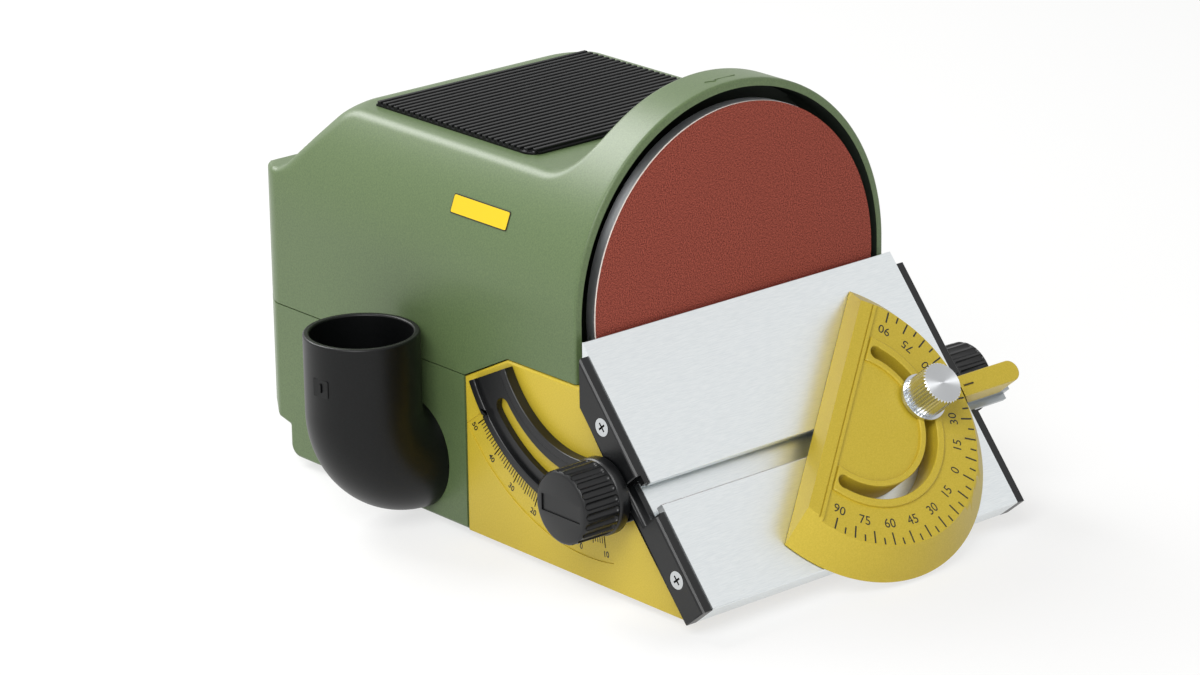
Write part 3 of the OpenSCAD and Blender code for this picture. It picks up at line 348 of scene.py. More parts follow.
def add_camera():
    """Camera whose picture has the disc's centre at the photographed place."""
    level = math.cos(VIEW_ELEVATION)
    forward = Vector((-math.sin(VIEW_AZIMUTH) * level, math.cos(VIEW_AZIMUTH) * level,
                      -math.sin(VIEW_ELEVATION)))
    right = forward.cross(Z_AXIS).normalized()
    down = forward.cross(right)
    right, down = (math.cos(VIEW_ROLL) * right + math.sin(VIEW_ROLL) * down,
                   math.cos(VIEW_ROLL) * down - math.sin(VIEW_ROLL) * right)
    across = (DISC_PIXEL[0] - PHOTO_W / 2) / FOCAL_PIXELS * VIEW_DISTANCE
    below = (DISC_PIXEL[1] - PHOTO_H / 2) / FOCAL_PIXELS * VIEW_DISTANCE
    place = disc_centre - right * across - down * below - forward * VIEW_DISTANCE
    lens = bpy.data.cameras.new("photo_camera")
    lens.sensor_width = 36
    lens.lens = FOCAL_PIXELS / PHOTO_W * lens.sensor_width
    camera = new_object("photo_camera", lens)
    camera.matrix_world = frame_at(place, right, -forward)
    bpy.context.scene.camera = camera


def add_softbox(name, direction, distance, size, watts, mirrored=True):
    """Square softbox that faces the machine from a direction. Bright metal shows it only if mirrored."""
    lamp = bpy.data.lights.new(name, "AREA")
    lamp.shape, lamp.size, lamp.energy = "SQUARE", size, watts
    box = new_object(name, lamp)
    away = Vector(direction).normalized()
    box.location = disc_centre + away * distance
    box.rotation_mode = "QUATERNION"
    box.rotation_quaternion = away.to_track_quat("Z", "Y")
    box.visible_glossy = mirrored


def seen_directly(tree):
    """Output that is 1 for rays that show the background: to the camera, in a mirror or through glass."""
    rays = add_node(tree, "ShaderNodeLightPath").outputs
    mirrored = add_node(tree, "ShaderNodeMath", {
        0: rays["Is Camera Ray"], 1: rays["Is Glossy Ray"]}, operation="MAXIMUM")
    return add_node(tree, "ShaderNodeMath", {
        0: mirrored.outputs[0], 1: rays["Is Transmission Ray"]}, operation="MAXIMUM").outputs[0]


def mixed_shaders(tree, share, first, second):
    """Shader that goes from the first to the second as share goes from 0 to 1."""
    return add_node(tree, "ShaderNodeMixShader", {0: share, 1: first.outputs[0], 2: second.outputs[0]})


def paper_white():
    """Pale paper that shows as white, while a part of the shadow on it stays."""
    material, tree = new_material("pale_paper_floor")
    lit = add_node(tree, "ShaderNodeBsdfDiffuse", {"Color": linear("#F4F4F2")})
    white = add_node(tree, "ShaderNodeEmission", {"Color": linear("#FFFFFF"), "Strength": 1.0})
    shown = add_node(tree, "ShaderNodeMath", {0: seen_directly(tree), 1: FLOOR_WHITE}, operation="MULTIPLY")
    show(tree, mixed_shaders(tree, shown.outputs[0], lit, white))
    return material


def add_studio():
    """Pale floor, even surroundings and three softboxes."""
    shape = bmesh.new()
    bmesh.ops.create_grid(shape, x_segments=1, y_segments=1, size=FLOOR_HALF)
    floor = new_object("floor", finished_mesh("floor", shape))
    floor.data.materials.append(paper_white())
    world = bpy.data.worlds.new("studio")
    world.use_nodes = True
    tree = world.node_tree
    tree.nodes.clear()
    room, white = (
        add_node(tree, "ShaderNodeBackground", {"Color": linear("#FFFFFF"), "Strength": strength})
        for strength in (ROOM_LIGHT, SURROUND_LIGHT))
    mixed = mixed_shaders(tree, seen_directly(tree), room, white)
    add_node(tree, "ShaderNodeOutputWorld", {0: mixed.outputs[0]})
    bpy.context.scene.world = world
    add_softbox("key_softbox", (-0.8, -0.47, 0.8), distance=1.5, size=0.9, watts=16.5)
    add_softbox("top_softbox", (-0.15, 0.72, 0.68), distance=1.5, size=0.8, watts=20)
    add_softbox("front_softbox", (-0.3, -1.0, 0.35), distance=1.6, size=1.5, watts=2.6, mirrored=False)


add_camera()
add_studio()


def joined(name, meshes):
    """One mesh from several."""
    shape = bmesh.new()
    for mesh in meshes:
        shape.from_mesh(mesh)
    return finished_mesh(name, shape)


def box_mesh(low, high):
    """Box between two corners in mm."""
    low, high = Vector(low) * MM, Vector(high) * MM
    shape = bmesh.new()
    size = Matrix.Diagonal((*(high - low), 1))
    bmesh.ops.create_cube(shape, size=1, matrix=Matrix.Translation((low + high) / 2) @ size)
    return finished_mesh("box", shape)


def turned_mesh(name, profile, steps):
    """Body turned about Z from a profile of (z, radius) in mm that starts and ends on the axis."""
    shape = bmesh.new()
    line = [shape.verts.new((r * MM, 0, z * MM)) for z, r in profile]
    edges = [shape.edges.new(pair) for pair in zip(line, line[1:])]
    bmesh.ops.spin(shape, geom=line + edges, cent=(0, 0, 0), axis=(0, 0, 1), angle=2 * math.pi, steps=steps)
    bmesh.ops.remove_doubles(shape, verts=shape.verts, dist=0.001 * MM)
    bmesh.ops.recalc_face_normals(shape, faces=shape.faces)
    return finished_mesh(name, shape)


def carved(name, mesh, tools):
    """Mesh left when the tools' shapes are taken out of it."""
    whole = new_object(name, mesh)
    tool = new_object("tool", joined("tool", tools))
    cutting = whole.modifiers.new("cutting", "BOOLEAN")
    cutting.object = tool
    left = taken_mesh(whole)
    bpy.data.objects.remove(tool)
    return left


def ring_tree():
    """Copies of one piece laid round the Z axis, each turned with its angle."""
    tree = bpy.data.node_groups.new("pieces_in_a_ring", "GeometryNodeTree")
    tree.interface.new_socket("Ring", in_out="OUTPUT", socket_type="NodeSocketGeometry")
    tree.interface.new_socket("Piece", in_out="INPUT", socket_type="NodeSocketGeometry")
    tree.interface.new_socket("Count", in_out="INPUT", socket_type="NodeSocketInt")
    for name in ("First Angle", "Step", "Radius"):
        tree.interface.new_socket(name, in_out="INPUT", socket_type="NodeSocketFloat")
    tree.interface.new_socket("Finish", in_out="INPUT", socket_type="NodeSocketMaterial")
    given = add_node(tree, "NodeGroupInput").outputs
    row = add_node(tree, "GeometryNodeMeshLine", {"Count": given["Count"], "Offset": (0, 0, 0)})
    index = add_node(tree, "GeometryNodeInputIndex")
    angle = add_node(tree, "ShaderNodeMath", {
        0: index.outputs[0], 1: given["Step"], 2: given["First Angle"]}, operation="MULTIPLY_ADD")
    out = add_node(tree, "ShaderNodeCombineXYZ", {0: given["Radius"]})
    place = add_node(tree, "ShaderNodeVectorRotate", {
        "Vector": out.outputs[0], "Angle": angle.outputs[0]}, rotation_type="Z_AXIS")
    laid = add_node(tree, "GeometryNodeSetPosition", {
        "Geometry": row.outputs[0], "Position": place.outputs[0]})
    turn = add_node(tree, "ShaderNodeCombineXYZ", {2: angle.outputs[0]})
    copies = add_node(tree, "GeometryNodeInstanceOnPoints", {
        "Points": laid.outputs[0], "Instance": given["Piece"], "Rotation": turn.outputs[0]})
    real = add_node(tree, "GeometryNodeRealizeInstances", {0: copies.outputs[0]})
    finished = add_node(tree, "GeometryNodeSetMaterial", {
        "Geometry": real.outputs[0], "Material": given["Finish"]})
    add_node(tree, "NodeGroupOutput", {0: finished.outputs[0]})
    return tree


pieces_in_a_ring = ring_tree()


def ring_mesh(name, piece, count, first, step, radius_mm, finish):
    """Plain mesh of copies of a piece in a ring. Angles are in degrees."""
    settings = {"Count": count, "First Angle": math.radians(first), "Step": math.radians(step),
                "Radius": radius_mm * MM, "Finish": finish}
    seed = new_object(name, piece)
    maker = seed.modifiers.new("maker", "NODES")
    maker.node_group = pieces_in_a_ring
    for socket in pieces_in_a_ring.interface.items_tree:
        if socket.name in settings:
            maker[socket.identifier] = settings[socket.name]
    return taken_mesh(seed)


# Thickness in mm of a printed stroke, half of it sunk, and half the thickness of a printed figure
STROKE_THICK = 0.12
FIGURE_HALF = 0.05
# Height of a figure as a share of the font's size
FIGURE_SHARE = 0.7


def stroke_mesh(name, matrix, count, first, step, inner_mm, length_mm, width_mm):
    """Strokes of one length, laid round the plane of matrix. Angles are in degrees."""
    bar = box_mesh((0, -width_mm / 2, -STROKE_THICK / 2), (length_mm, width_mm / 2, STROKE_THICK / 2))
    mesh = ring_mesh(name, bar, count, first, step, inner_mm, ink_and_painted_shade)
    mesh.transform(matrix)
    return mesh


def number_mesh(text, height_mm, matrix, bold_mm=0.0):
    """Thin figures centred on the plane of matrix, their strokes widened by bold_mm on each side."""
    letters = bpy.data.curves.new("figures", "FONT")
    letters.body, letters.size = text, height_mm * MM / FIGURE_SHARE
    letters.align_x, letters.align_y = "CENTER", "CENTER"
    letters.extrude = FIGURE_HALF * MM
    letters.offset = bold_mm * MM
    letters.resolution_u = 3
    mesh = taken_mesh(new_object("figures", letters))
    mesh.transform(matrix)
    return mesh


# Tilt scale: degrees up from straight to the rear, and distances from the tilt axis in mm
TILT_ZERO = -88
TILT_FIRST, TILT_LAST = -10, 50
TILT_STROKES_R, TILT_FIGURES_R = 62.5, 72.4
TILT_FIGURE_H, TILT_FIGURE_BOLD = 2.1, 0.05
TILT_FIELD_R = (61, 76)
TILT_FIELD_DEPTH = 0.4
# Name, step in degrees, length and width in mm of the tilt scale's strokes
TILT_STROKES = (("tilt_degrees", 1, 6.2, 0.32), ("tilt_fives", 5, 6.9, 0.34), ("tilt_tens", 10, 7.6, 0.4))

# Gauge's scale: height of its face above the table and distances from the pin in mm, and the angle in
# degrees that it reads
GAUGE_FACE_H = 10.3
GAUGE_READING = 45
GAUGE_FIGURES_R, GAUGE_FIGURE_H = 38, 3.3
GAUGE_STROKE_W = 0.55
# Name, first angle in degrees, count, inner radius and length in mm of the gauge's strokes
GAUGE_STROKES = (("gauge_tens", -90, 19, 41.2, 4.4), ("gauge_fives", -85, 18, 43.2, 2.4))
POINTER_R, POINTER_LENGTH, POINTER_W = 48.2, 4.4, 0.4


def add_tilt_scale():
    """Tilt scale on the left side of the front housing, read at the quadrant's edge."""
    face_x = -nodes["upper_housing"].dimensions.x / 2 + TILT_FIELD_DEPTH * MM
    centre = Vector((face_x, tilt_axis.y, tilt_axis.z))
    field = frame_at(centre, Y_AXIS, X_AXIS)
    first, span = TILT_ZERO + TILT_FIRST, TILT_LAST - TILT_FIRST
    marks = [stroke_mesh(name, field, span // step + 1, first, step, TILT_STROKES_R, length, width)
             for name, step, length, width in TILT_STROKES]
    for degrees in range(TILT_FIRST, TILT_LAST + 1, 10):
        angle = math.radians(TILT_ZERO + degrees)
        out = Vector((0, math.cos(angle), math.sin(angle)))
        upright = frame_at(centre + out * TILT_FIGURES_R * MM, out.cross(X_AXIS), -X_AXIS)
        marks.append(number_mesh(str(abs(degrees)), TILT_FIGURE_H, upright, TILT_FIGURE_BOLD))
    add_piece("tilt_scale", joined("tilt_scale", marks), "base", ink_and_painted_shade)


def add_gauge_scale():
    """Angle scale on the protractor's sunk face, and the pointer line on the arm."""
    flat = frame_at(gauge_centre + table_normal * GAUGE_FACE_H * MM, X_AXIS, table_normal)
    zero = flat @ Matrix.Rotation(-math.radians(GAUGE_READING), 4, "Z")
    marks = [stroke_mesh(name, zero, count, first, 10, inner, length, GAUGE_STROKE_W)
             for name, first, count, inner, length in GAUGE_STROKES]
    reach = GAUGE_FIGURES_R * MM
    for degrees in range(-90, 105, 15):
        angle = math.radians(degrees)
        local = Matrix.Translation((reach * math.cos(angle), reach * math.sin(angle), 0))
        upright = Matrix.Rotation(angle + math.pi / 2, 4, "Z")
        marks.append(number_mesh(str(abs(degrees)), GAUGE_FIGURE_H, zero @ local @ upright))
    add_piece("gauge_scale", joined("gauge_scale", marks), "protractor", ink_and_painted_shade)
    line = stroke_mesh("pointer_line", flat, 1, 0, 0, POINTER_R, POINTER_LENGTH, POINTER_W)
    add_piece("pointer_line", line, "gauge", ink_and_painted_shade)


# How deep in mm a raised plate reaches under the skin that it lies on
PLATE_ROOT = 0.3
# Straight pieces in each round corner of a plate
CORNER_STEPS = 4


def wrapped(name, outline, matrix, radius_mm, thick_mm):
    """Thin plate bent round the z axis of matrix. The outline holds (angle in degrees, z in mm) pairs."""
    shape = bmesh.new()
    rings = []
    for lift in (-PLATE_ROOT, thick_mm):
        ring = []
        for angle, z in outline:
            a, r = math.radians(angle), radius_mm + lift
            point = Vector((r * math.cos(a) * MM, r * math.sin(a) * MM, z * MM))
            ring.append(shape.verts.new(matrix @ point))
        rings.append(ring)
    low, high = rings
    shape.faces.new(high)
    shape.faces.new(list(reversed(low)))
    for i in range(len(outline)):
        k = (i + 1) % len(outline)
        shape.faces.new((low[i], low[k], high[k], high[i]))
    bmesh.ops.triangulate(shape, faces=[f for f in shape.faces if len(f.verts) > 4])
    bmesh.ops.recalc_face_normals(shape, faces=shape.faces)
    return finished_mesh(name, shape)


def rounded_outline(a0, a1, z0, z1, corner, per_degree):
    """Rectangle in angle and z with round corners; per_degree turns degrees into mm."""
    points = []
    for corner_a, corner_z, start in ((a1, z1, 0), (a0, z1, 90), (a0, z0, 180), (a1, z0, 270)):
        ca = corner_a - math.copysign(corner / per_degree, corner_a - (a0 + a1) / 2)
        cz = corner_z - math.copysign(corner, corner_z - (z0 + z1) / 2)
        for k in range(CORNER_STEPS + 1):
            t = math.radians(start + 90 / CORNER_STEPS * k)
            points.append((ca + corner / per_degree * math.cos(t), cz + corner * math.sin(t)))
    return points


# Height of the housing's arch, half its width and the length of one degree round it, in mm
AXIS_H = disc_centre.z / MM
HALF_W = round(nodes["upper_housing"].dimensions.x / 2 / MM, 3)
ARCH_DEGREE = math.radians(HALF_W)
# The arch from the front: its z axis is the disc's axis and runs forward
arch = frame_at(Vector((0, 0, disc_centre.z)), X_AXIS, -Y_AXIS)

# Plate on the left shoulder: degrees round the arch, from right to left, and mm along it
PLATE_ANGLES = (155.4, 160.4)
PLATE_PLACES = (-70.1, -41.4)
# How far its dark edge stands out, in degrees and mm
PLATE_EDGE = (0.3, 0.4)

# Mark on the elbow: degrees round the pipe and heights in mm, of its square and of the upright in it
MARK_SQUARE = (175.5, 196.5, 53.6, 59.8)
MARK_UPRIGHT = (185.0, 188.0, 55.2, 58.4)


def add_side_plate():
    """Bare yellow plate on the left shoulder, with a dark edge."""
    (a0, a1), (z0, z1) = PLATE_ANGLES, PLATE_PLACES
    wide, long = PLATE_EDGE
    edge = rounded_outline(a0 - wide, a1 + wide, z0 - long, z1 + long, corner=0.8, per_degree=ARCH_DEGREE)
    plate = rounded_outline(a0, a1, z0, z1, corner=0.6, per_degree=ARCH_DEGREE)
    edge_mesh = wrapped("side_plate_edge", edge, arch, HALF_W, thick_mm=0.2)
    plate_mesh = wrapped("side_plate", plate, arch, HALF_W, thick_mm=0.32)
    add_piece("side_plate_edge", edge_mesh, "base", ink_and_painted_shade)
    add_piece("side_plate", plate_mesh, "base", yellow_enamel)


def add_turning_arrow():
    """Raised arrow on top of the hood that shows which way the disc turns."""
    drawn = [(-7, 8), (-3.4, 9.9), (-3.4, 8.7), (6, 8.7), (6, 7.3), (-3.4, 7.3), (-3.4, 6.1)]
    outline = [(90 - x / ARCH_DEGREE, -y) for x, y in drawn]
    mesh = wrapped("turning_arrow", outline, arch, HALF_W, thick_mm=0.25)
    add_piece("turning_arrow", mesh, "base", green_abs)


def add_elbow_mark():
    """Small raised mould mark on the elbow: a square with a short upright."""
    low, high = (Vector(c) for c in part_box("dust_elbow"))
    pipe_r = (high.y - low.y) / 2 / MM
    pipe = frame_at(Vector((low.x + pipe_r * MM, (low.y + high.y) / 2, 0)), X_AXIS, Z_AXIS)
    square = rounded_outline(*MARK_SQUARE, corner=0.5, per_degree=math.radians(pipe_r))
    upright = rounded_outline(*MARK_UPRIGHT, corner=0.3, per_degree=math.radians(pipe_r))
    mesh = joined("elbow_mark", [wrapped("square", square, pipe, pipe_r, thick_mm=0.25),
                                 wrapped("upright", upright, pipe, pipe_r, thick_mm=0.5)])
    add_piece("elbow_mark", mesh, body_of["dust_elbow"], black_polypropylene)


add_tilt_scale()
add_gauge_scale()
add_side_plate()
add_turning_arrow()
add_elbow_mark()

# Outline of the upper housing in mm, as in the solid model
PANEL_H = 133.5
LEDGE_H = 108
SEAM_H = 59
FRONT_TOP_H = 70.4
HOOD_FRONT = 2
HOOD_BACK = 19.5
HOOD_WALL = 4
NOTCH_Y = 37.2
SPLIT_Y = 60
SLOPE_TOP_Y = 145.5
SLOPE_FOOT_Y = 166
BODY_L = 176
REAR_BEVEL = (6.5, 10)
CORNER_TOP = Vector((54.84, 138.5, PANEL_H))
CORNER_FOOT = Vector((67.65, 164, LEDGE_H))
CORNER_LEVEL = Vector((-10, 7, 0))
CORNER_NORMAL = (CORNER_FOOT - CORNER_TOP).cross(CORNER_LEVEL).normalized()
PARTITION_T = 3
# The hood's rim is thinner than in the solid model, and the hole in the partition a little wider
HOOD_RIM = 2.8
BEARING_HOLE_R = 13.2

# Radii in mm that its edges and inner corners are rounded by
COVE_R = 15
SLOPE_R = 5
CORNER_R = 4
LEDGE_R = 2.5
REAR_R = 1.5
TOP_EDGE_R = 2.2
HOOD_EDGE_R = 1.0

# Rows of the housing's skin along Y in mm, close together where it bends
SKIN_ROWS = np.concatenate([
    [2, 2.05, 2.18, 2.4, 2.7, 3.1], np.linspace(5, 15, 5), np.linspace(16.5, 21.5, 14),
    np.linspace(22.3, 36, 20), [NOTCH_Y], np.linspace(42, 54, 4), np.linspace(SPLIT_Y, 130, 13),
    np.linspace(133, 152, 26), np.linspace(153.5, 160, 5), np.linspace(161, 174, 20),
    [174.4, 174.8, 175.15, 175.45, 175.68, 175.84, 175.94, 175.985]])
# Points of a row on each upright wall and over the arch, and halvings that find each of them
WALL_STEPS = 8
ARCH_STEPS = 240
HALVINGS = 40
# The hood's front face lies this far before the first row: on the face itself no point counts as inside
FRONT_SLACK = 0.003
# The hood's wall grows from the rim's thickness to the full one between these places
RIM_GROWS = (13, 16)
# Points round the partition's hole and edge
PARTITION_STEPS = 144

# Rear vents: distance from one to the next, half width, number to each side of the middle one, and
# heights above the seam
VENT_PITCH, VENT_HALF, VENTS_A_SIDE = 9, 1.6, 4
VENT_LOW, VENT_HIGH = 8, 40
# Half length and half height of the openings behind the switch and the dial
SWITCH_HOLE = (6, 9)
DIAL_HOLE = (4, 4)


def meet(a, b, r):
    """Distance to what two bodies share, the edge between them rounded by r."""
    return np.minimum(-r, np.maximum(a, b)) + np.hypot(np.maximum(r + a, 0), np.maximum(r + b, 0))


def blend(a, b, r):
    """Distance to two bodies together, the corner between them filled by r."""
    return np.maximum(r, np.minimum(a, b)) - np.hypot(np.maximum(r - a, 0), np.maximum(r - b, 0))


def past_line(y, z, y0, z0, y1, z1):
    """Distance past the straight line through two points of a flat view."""
    return ((y - y0) * (z0 - z1) + (z - z0) * (y1 - y0)) / math.hypot(y1 - y0, z1 - z0)


def housing_distance(x, y, z):
    """Distance to the upper housing's outer skin in mm, below 0 inside, with all its edges softened."""
    x = np.abs(x)
    slope = past_line(y, z, SLOPE_TOP_Y, PANEL_H, SLOPE_FOOT_Y, LEDGE_H)
    corner = ((x - CORNER_TOP.x) * CORNER_NORMAL.x + (y - CORNER_TOP.y) * CORNER_NORMAL.y
              + (z - CORNER_TOP.z) * CORNER_NORMAL.z)
    roof = meet(meet(z - PANEL_H, slope, SLOPE_R), corner, CORNER_R)
    top = blend(blend(roof, z - LEDGE_H, LEDGE_R), y - HOOD_BACK, COVE_R)
    bevel = -past_line(x, y, HALF_W, BODY_L - REAR_BEVEL[1], HALF_W - REAR_BEVEL[0], BODY_L)
    side = meet(np.hypot(x, np.maximum(z - AXIS_H, 0)) - HALF_W, bevel, REAR_R)
    return meet(meet(side, y - BODY_L, REAR_R), top, TOP_EDGE_R)


def housing_skin(ys, depth, front_round):
    """Rows of points of the skin, one for each y with its depth, from the left seam over to the right."""
    up = np.linspace(0, 1, WALL_STEPS + 1)[:-1]
    turn = np.linspace(0, math.pi, ARCH_STEPS + 1)
    seam = np.interp(ys, (NOTCH_Y, SPLIT_Y), (FRONT_TOP_H, SEAM_H))[:, None]
    wall = seam + up * (AXIS_H - seam)
    from_z = np.hstack([wall, np.full((len(ys), len(turn)), AXIS_H), wall[:, ::-1]])
    along_x = np.concatenate([-np.ones(len(up)), -np.cos(turn), np.ones(len(up))])
    along_z = np.concatenate([np.zeros(len(up)), np.sin(turn), np.zeros(len(up))])
    y = np.broadcast_to(ys[:, None], from_z.shape)
    near, far = np.zeros(from_z.shape), np.full(from_z.shape, 1.5 * HALF_W)
    for _ in range(HALVINGS):
        middle = (near + far) / 2
        distance = housing_distance(middle * along_x, y, from_z + middle * along_z)
        if front_round:
            distance = meet(distance, HOOD_FRONT - FRONT_SLACK - y, front_round)
        inside = distance < -depth[:, None]
        near, far = np.where(inside, middle, near), np.where(inside, far, middle)
    return np.stack([near * along_x, y, from_z + near * along_z], axis=-1) * MM


def skin_mesh():
    """Closed shell between the outer and the inner skin of the upper housing."""
    ys = SKIN_ROWS
    outer = housing_skin(ys, 0 * ys, HOOD_EDGE_R)
    inner_end = BODY_L - HOOD_WALL - 0.1
    inner_ys = HOOD_FRONT + (ys - HOOD_FRONT) * (inner_end - HOOD_FRONT) / (ys[-1] - HOOD_FRONT)
    inner = housing_skin(inner_ys, np.interp(inner_ys, RIM_GROWS, (HOOD_RIM, HOOD_WALL)), 0)
    rows, columns = outer.shape[:2]
    count = rows * columns
    faces = []
    for r in range(rows - 1):
        for c in range(columns - 1):
            k = r * columns + c
            faces.append((k, k + 1, k + columns + 1, k + columns))
            faces.append((count + k, count + k + columns, count + k + columns + 1, count + k + 1))
        for k in (r * columns, r * columns + columns - 1):
            faces.append((k, k + columns, count + k + columns, count + k))
    for c in range(columns - 1):
        faces.append((c, count + c, count + c + 1, c + 1))
    last = list(range(count - columns, count))
    faces.append(last)
    faces.append([count + k for k in last])
    faces.append((last[0], last[-1], count + last[-1], count + last[0]))
    mesh = bpy.data.meshes.new("upper_housing_skin")
    mesh.from_pydata(np.concatenate([outer.reshape(-1, 3), inner.reshape(-1, 3)]).tolist(), [], faces)
    shape = bmesh.new()
    shape.from_mesh(mesh)
    bmesh.ops.recalc_face_normals(shape, faces=shape.faces)
    shape.to_mesh(mesh)
    shape.free()
    return mesh


def housing_openings():
    """Boxes that cut the rear vents and the openings behind the switch and the dial."""
    boxes = []
    for i in range(-VENTS_A_SIDE, VENTS_A_SIDE + 1):
        x = VENT_PITCH * i
        boxes.append(box_mesh((x - VENT_HALF, BODY_L - 2 * HOOD_WALL, SEAM_H + VENT_LOW),
                              (x + VENT_HALF, BODY_L + HOOD_WALL, SEAM_H + VENT_HIGH)))
    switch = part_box("switch_frame")
    switch_centre = (Vector(switch[0]) + Vector(switch[1])) / 2 / MM
    dial_centre = Vector(joints["dial_turn"]["pos_m"]) / MM
    for centre, (along, up) in ((switch_centre, SWITCH_HOLE), (dial_centre, DIAL_HOLE)):
        boxes.append(box_mesh((HALF_W - 10, centre.y - along, centre.z - up),
                              (HALF_W + 5, centre.y + along, centre.z + up)))
    return boxes


def partition_reach(angle):
    """Distance in mm from the disc's axis to the partition's edge, at an angle up from the right."""
    reach = HALF_W - HOOD_WALL + 0.5
    if math.sin(angle) < 0:
        return min(reach / max(abs(math.cos(angle)), 0.01), (AXIS_H - FRONT_TOP_H) / abs(math.sin(angle)))
    return reach


def partition_mesh():
    """Wall behind the disc with the hole for the shaft's bearing."""
    shape = bmesh.new()
    loops = []
    for y in (HOOD_BACK - PARTITION_T, HOOD_BACK):
        for outer in (False, True):
            loop = []
            for k in range(PARTITION_STEPS):
                angle = math.radians(360 / PARTITION_STEPS * k)
                reach = partition_reach(angle) if outer else BEARING_HOLE_R
                point = Vector((reach * math.cos(angle), y, AXIS_H + reach * math.sin(angle))) * MM
                loop.append(shape.verts.new(point))
            loops.append(loop)
    for a, b in ((0, 1), (1, 3), (3, 2), (2, 0)):
        for k in range(PARTITION_STEPS):
            n = (k + 1) % PARTITION_STEPS
            shape.faces.new((loops[a][k], loops[a][n], loops[b][n], loops[b][k]))
    bmesh.ops.recalc_face_normals(shape, faces=shape.faces)
    return finished_mesh("partition", shape)


def in_chamber(face):
    """True for a face inside the disc chamber of the hood."""
    point = face.center / MM
    from_axis = math.hypot(point.x, max(point.z - AXIS_H, 0))
    return HOOD_FRONT + 0.2 < point.y < HOOD_BACK - 1 and from_axis < HALF_W - HOOD_RIM + 0.6


def add_upper_housing():
    """Upper housing with flowing edges: its shell, the openings in it and the partition behind the disc."""
    shell = carved("upper_housing_skin", skin_mesh(), housing_openings())
    whole = joined("upper_housing_soft", [shell, partition_mesh()])
    shade_smooth(whole, sharp_from=32)
    piece = add_piece("upper_housing_soft", whole, "base", green_abs)
    # Faces inside the disc chamber take the near-black finish: painted shade.
    finish_where(whole, chamber_painted_shade, in_chamber)
    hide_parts("upper_housing")


# Clamp knob: number of flutes, their radius, how far the middles of their round ends lie from the
# knob's foot and from its face, and the sunk panel's size as shares of the knob's radius. In mm.
FLUTES = 22
FLUTE_R = 1.45
FLUTE_START, FLUTE_END = 6.0, 1.7
PANEL_LONG, PANEL_WIDE = 0.72, 0.22
PANEL_DEPTH = 0.5


def add_knob(side, outward):
    """Clamp knob: plain collar, round-ended flutes, soft rim and a bare sunk panel on the face."""
    low, high = (Vector(c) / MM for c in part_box(side + "_knob"))
    length = high.x - low.x
    radius = (high.z - low.z) / 2
    grip = radius - 0.45
    body = turned_mesh(side + "_knob_body", [
        (0, 0), (0, radius - 0.8), (0.25, radius - 0.25), (0.8, radius), (3.6, radius),
        (4.1, radius - 0.12), (4.5, grip), (length - 1.5, grip - 0.1), (length - 0.7, grip - 0.3),
        (length - 0.2, grip - 0.8), (length, grip - 1.4), (length, 0)], steps=6 * FLUTES)
    profile = []
    for k in range(13):
        a = math.radians(15 * k)
        end = FLUTE_START if a < math.pi / 2 else length - FLUTE_END
        profile.append((end - FLUTE_R * math.cos(a), FLUTE_R * math.sin(a)))
    flute = turned_mesh("flute", profile, steps=16)
    flutes = ring_mesh("flutes", flute, FLUTES, 0, 360 / FLUTES, radius - 0.15, black_nylon)
    panel = box_mesh((-radius * PANEL_LONG, -radius * PANEL_WIDE, length - PANEL_DEPTH),
                     (radius * PANEL_LONG, radius * PANEL_WIDE, length + 1))
    mesh = carved(side + "_knob_soft", body, [flutes, panel])
    foot_x = outward * min(abs(low.x), abs(high.x))
    foot = Vector((foot_x, (low.y + high.y) / 2, (low.z + high.z) / 2)) * MM
    mesh.transform(frame_at(foot, -outward * Y_AXIS, outward * X_AXIS))
    shade_smooth(mesh, sharp_from=30)
    piece = add_piece(side + "_knob_soft", mesh, body_of[side + "_knob"], black_nylon)
    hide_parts(side + "_knob")


# Tongues in the housings' upright seam: how far they lie behind the side, and their depth, in mm
TONGUE_INSET, TONGUE_DEPTH = 0.8, 3.2


def add_seam_tongues():
    """Tongues in the upright seam between the front and lower housings, so that no light shows
    through; their near-black finish is painted shade."""
    low, high = (Vector(c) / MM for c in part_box("lower_housing"))
    outside = HALF_W - TONGUE_INSET
    strips = []
    for x in (-outside, outside - TONGUE_DEPTH):
        strips.append(box_mesh((x, low.y - 0.35, low.z + 0.2),
                               (x + TONGUE_DEPTH, low.y - 0.05, high.z - 0.2)))
    add_piece("seam_tongues", joined("seam_tongues", strips), "base", chamber_painted_shade)


# Radius that the backing disc's lip is drawn in to, and depth of the grit on the abrasive's rim, in mm
LIP_R = 62.6
GRIT_DEPTH = 0.5


def finish_rim(disc, material, from_y=0.0):
    """Gives the faces round a disc's axis, from a distance behind the disc's face on, their own finish."""
    finish_where(disc, material, lambda face: abs(face.normal.y) < 0.5 and face.center.y > from_y)


def add_backing_disc():
    """Backing disc whose lip round the abrasive shows only as a thin line."""
    lip = LIP_R * MM
    disc = soften("backing_disc").data
    for vertex in disc.vertices:
        out = vertex.co - disc_centre
        out.y = 0
        if out.length > lip:
            vertex.co += out * (lip / out.length - 1)
    finish_rim(disc, rim_aluminium)


def add_abrasive_disc():
    """Abrasive disc whose rim shows the grit and, behind it, the pale cut edge of the cloth."""
    grit = GRIT_DEPTH * MM
    disc = soften("sanding_disc").data
    shape = bmesh.new()
    shape.from_mesh(disc)
    bmesh.ops.bisect_plane(shape, geom=[*shape.verts, *shape.edges, *shape.faces], plane_co=(0, grit, 0),
                           plane_no=Y_AXIS)
    shape.to_mesh(disc)
    shape.free()
    finish_rim(disc, cut_cloth, grit)


# Thumb screw: heights above the table of its stud's end, its head's foot and its top, radii, bevel,
# and the knurl's grooves with half the side of the square that cuts them. In mm.
STUD_END, HEAD_LOW, HEAD_TOP = -5.2, 12.8, 24.2
STUD_R, HEAD_R = 2, 7.5
HEAD_BEVEL = 0.5
KNURL_GROOVES = 36
GROOVE_HALF = 0.42


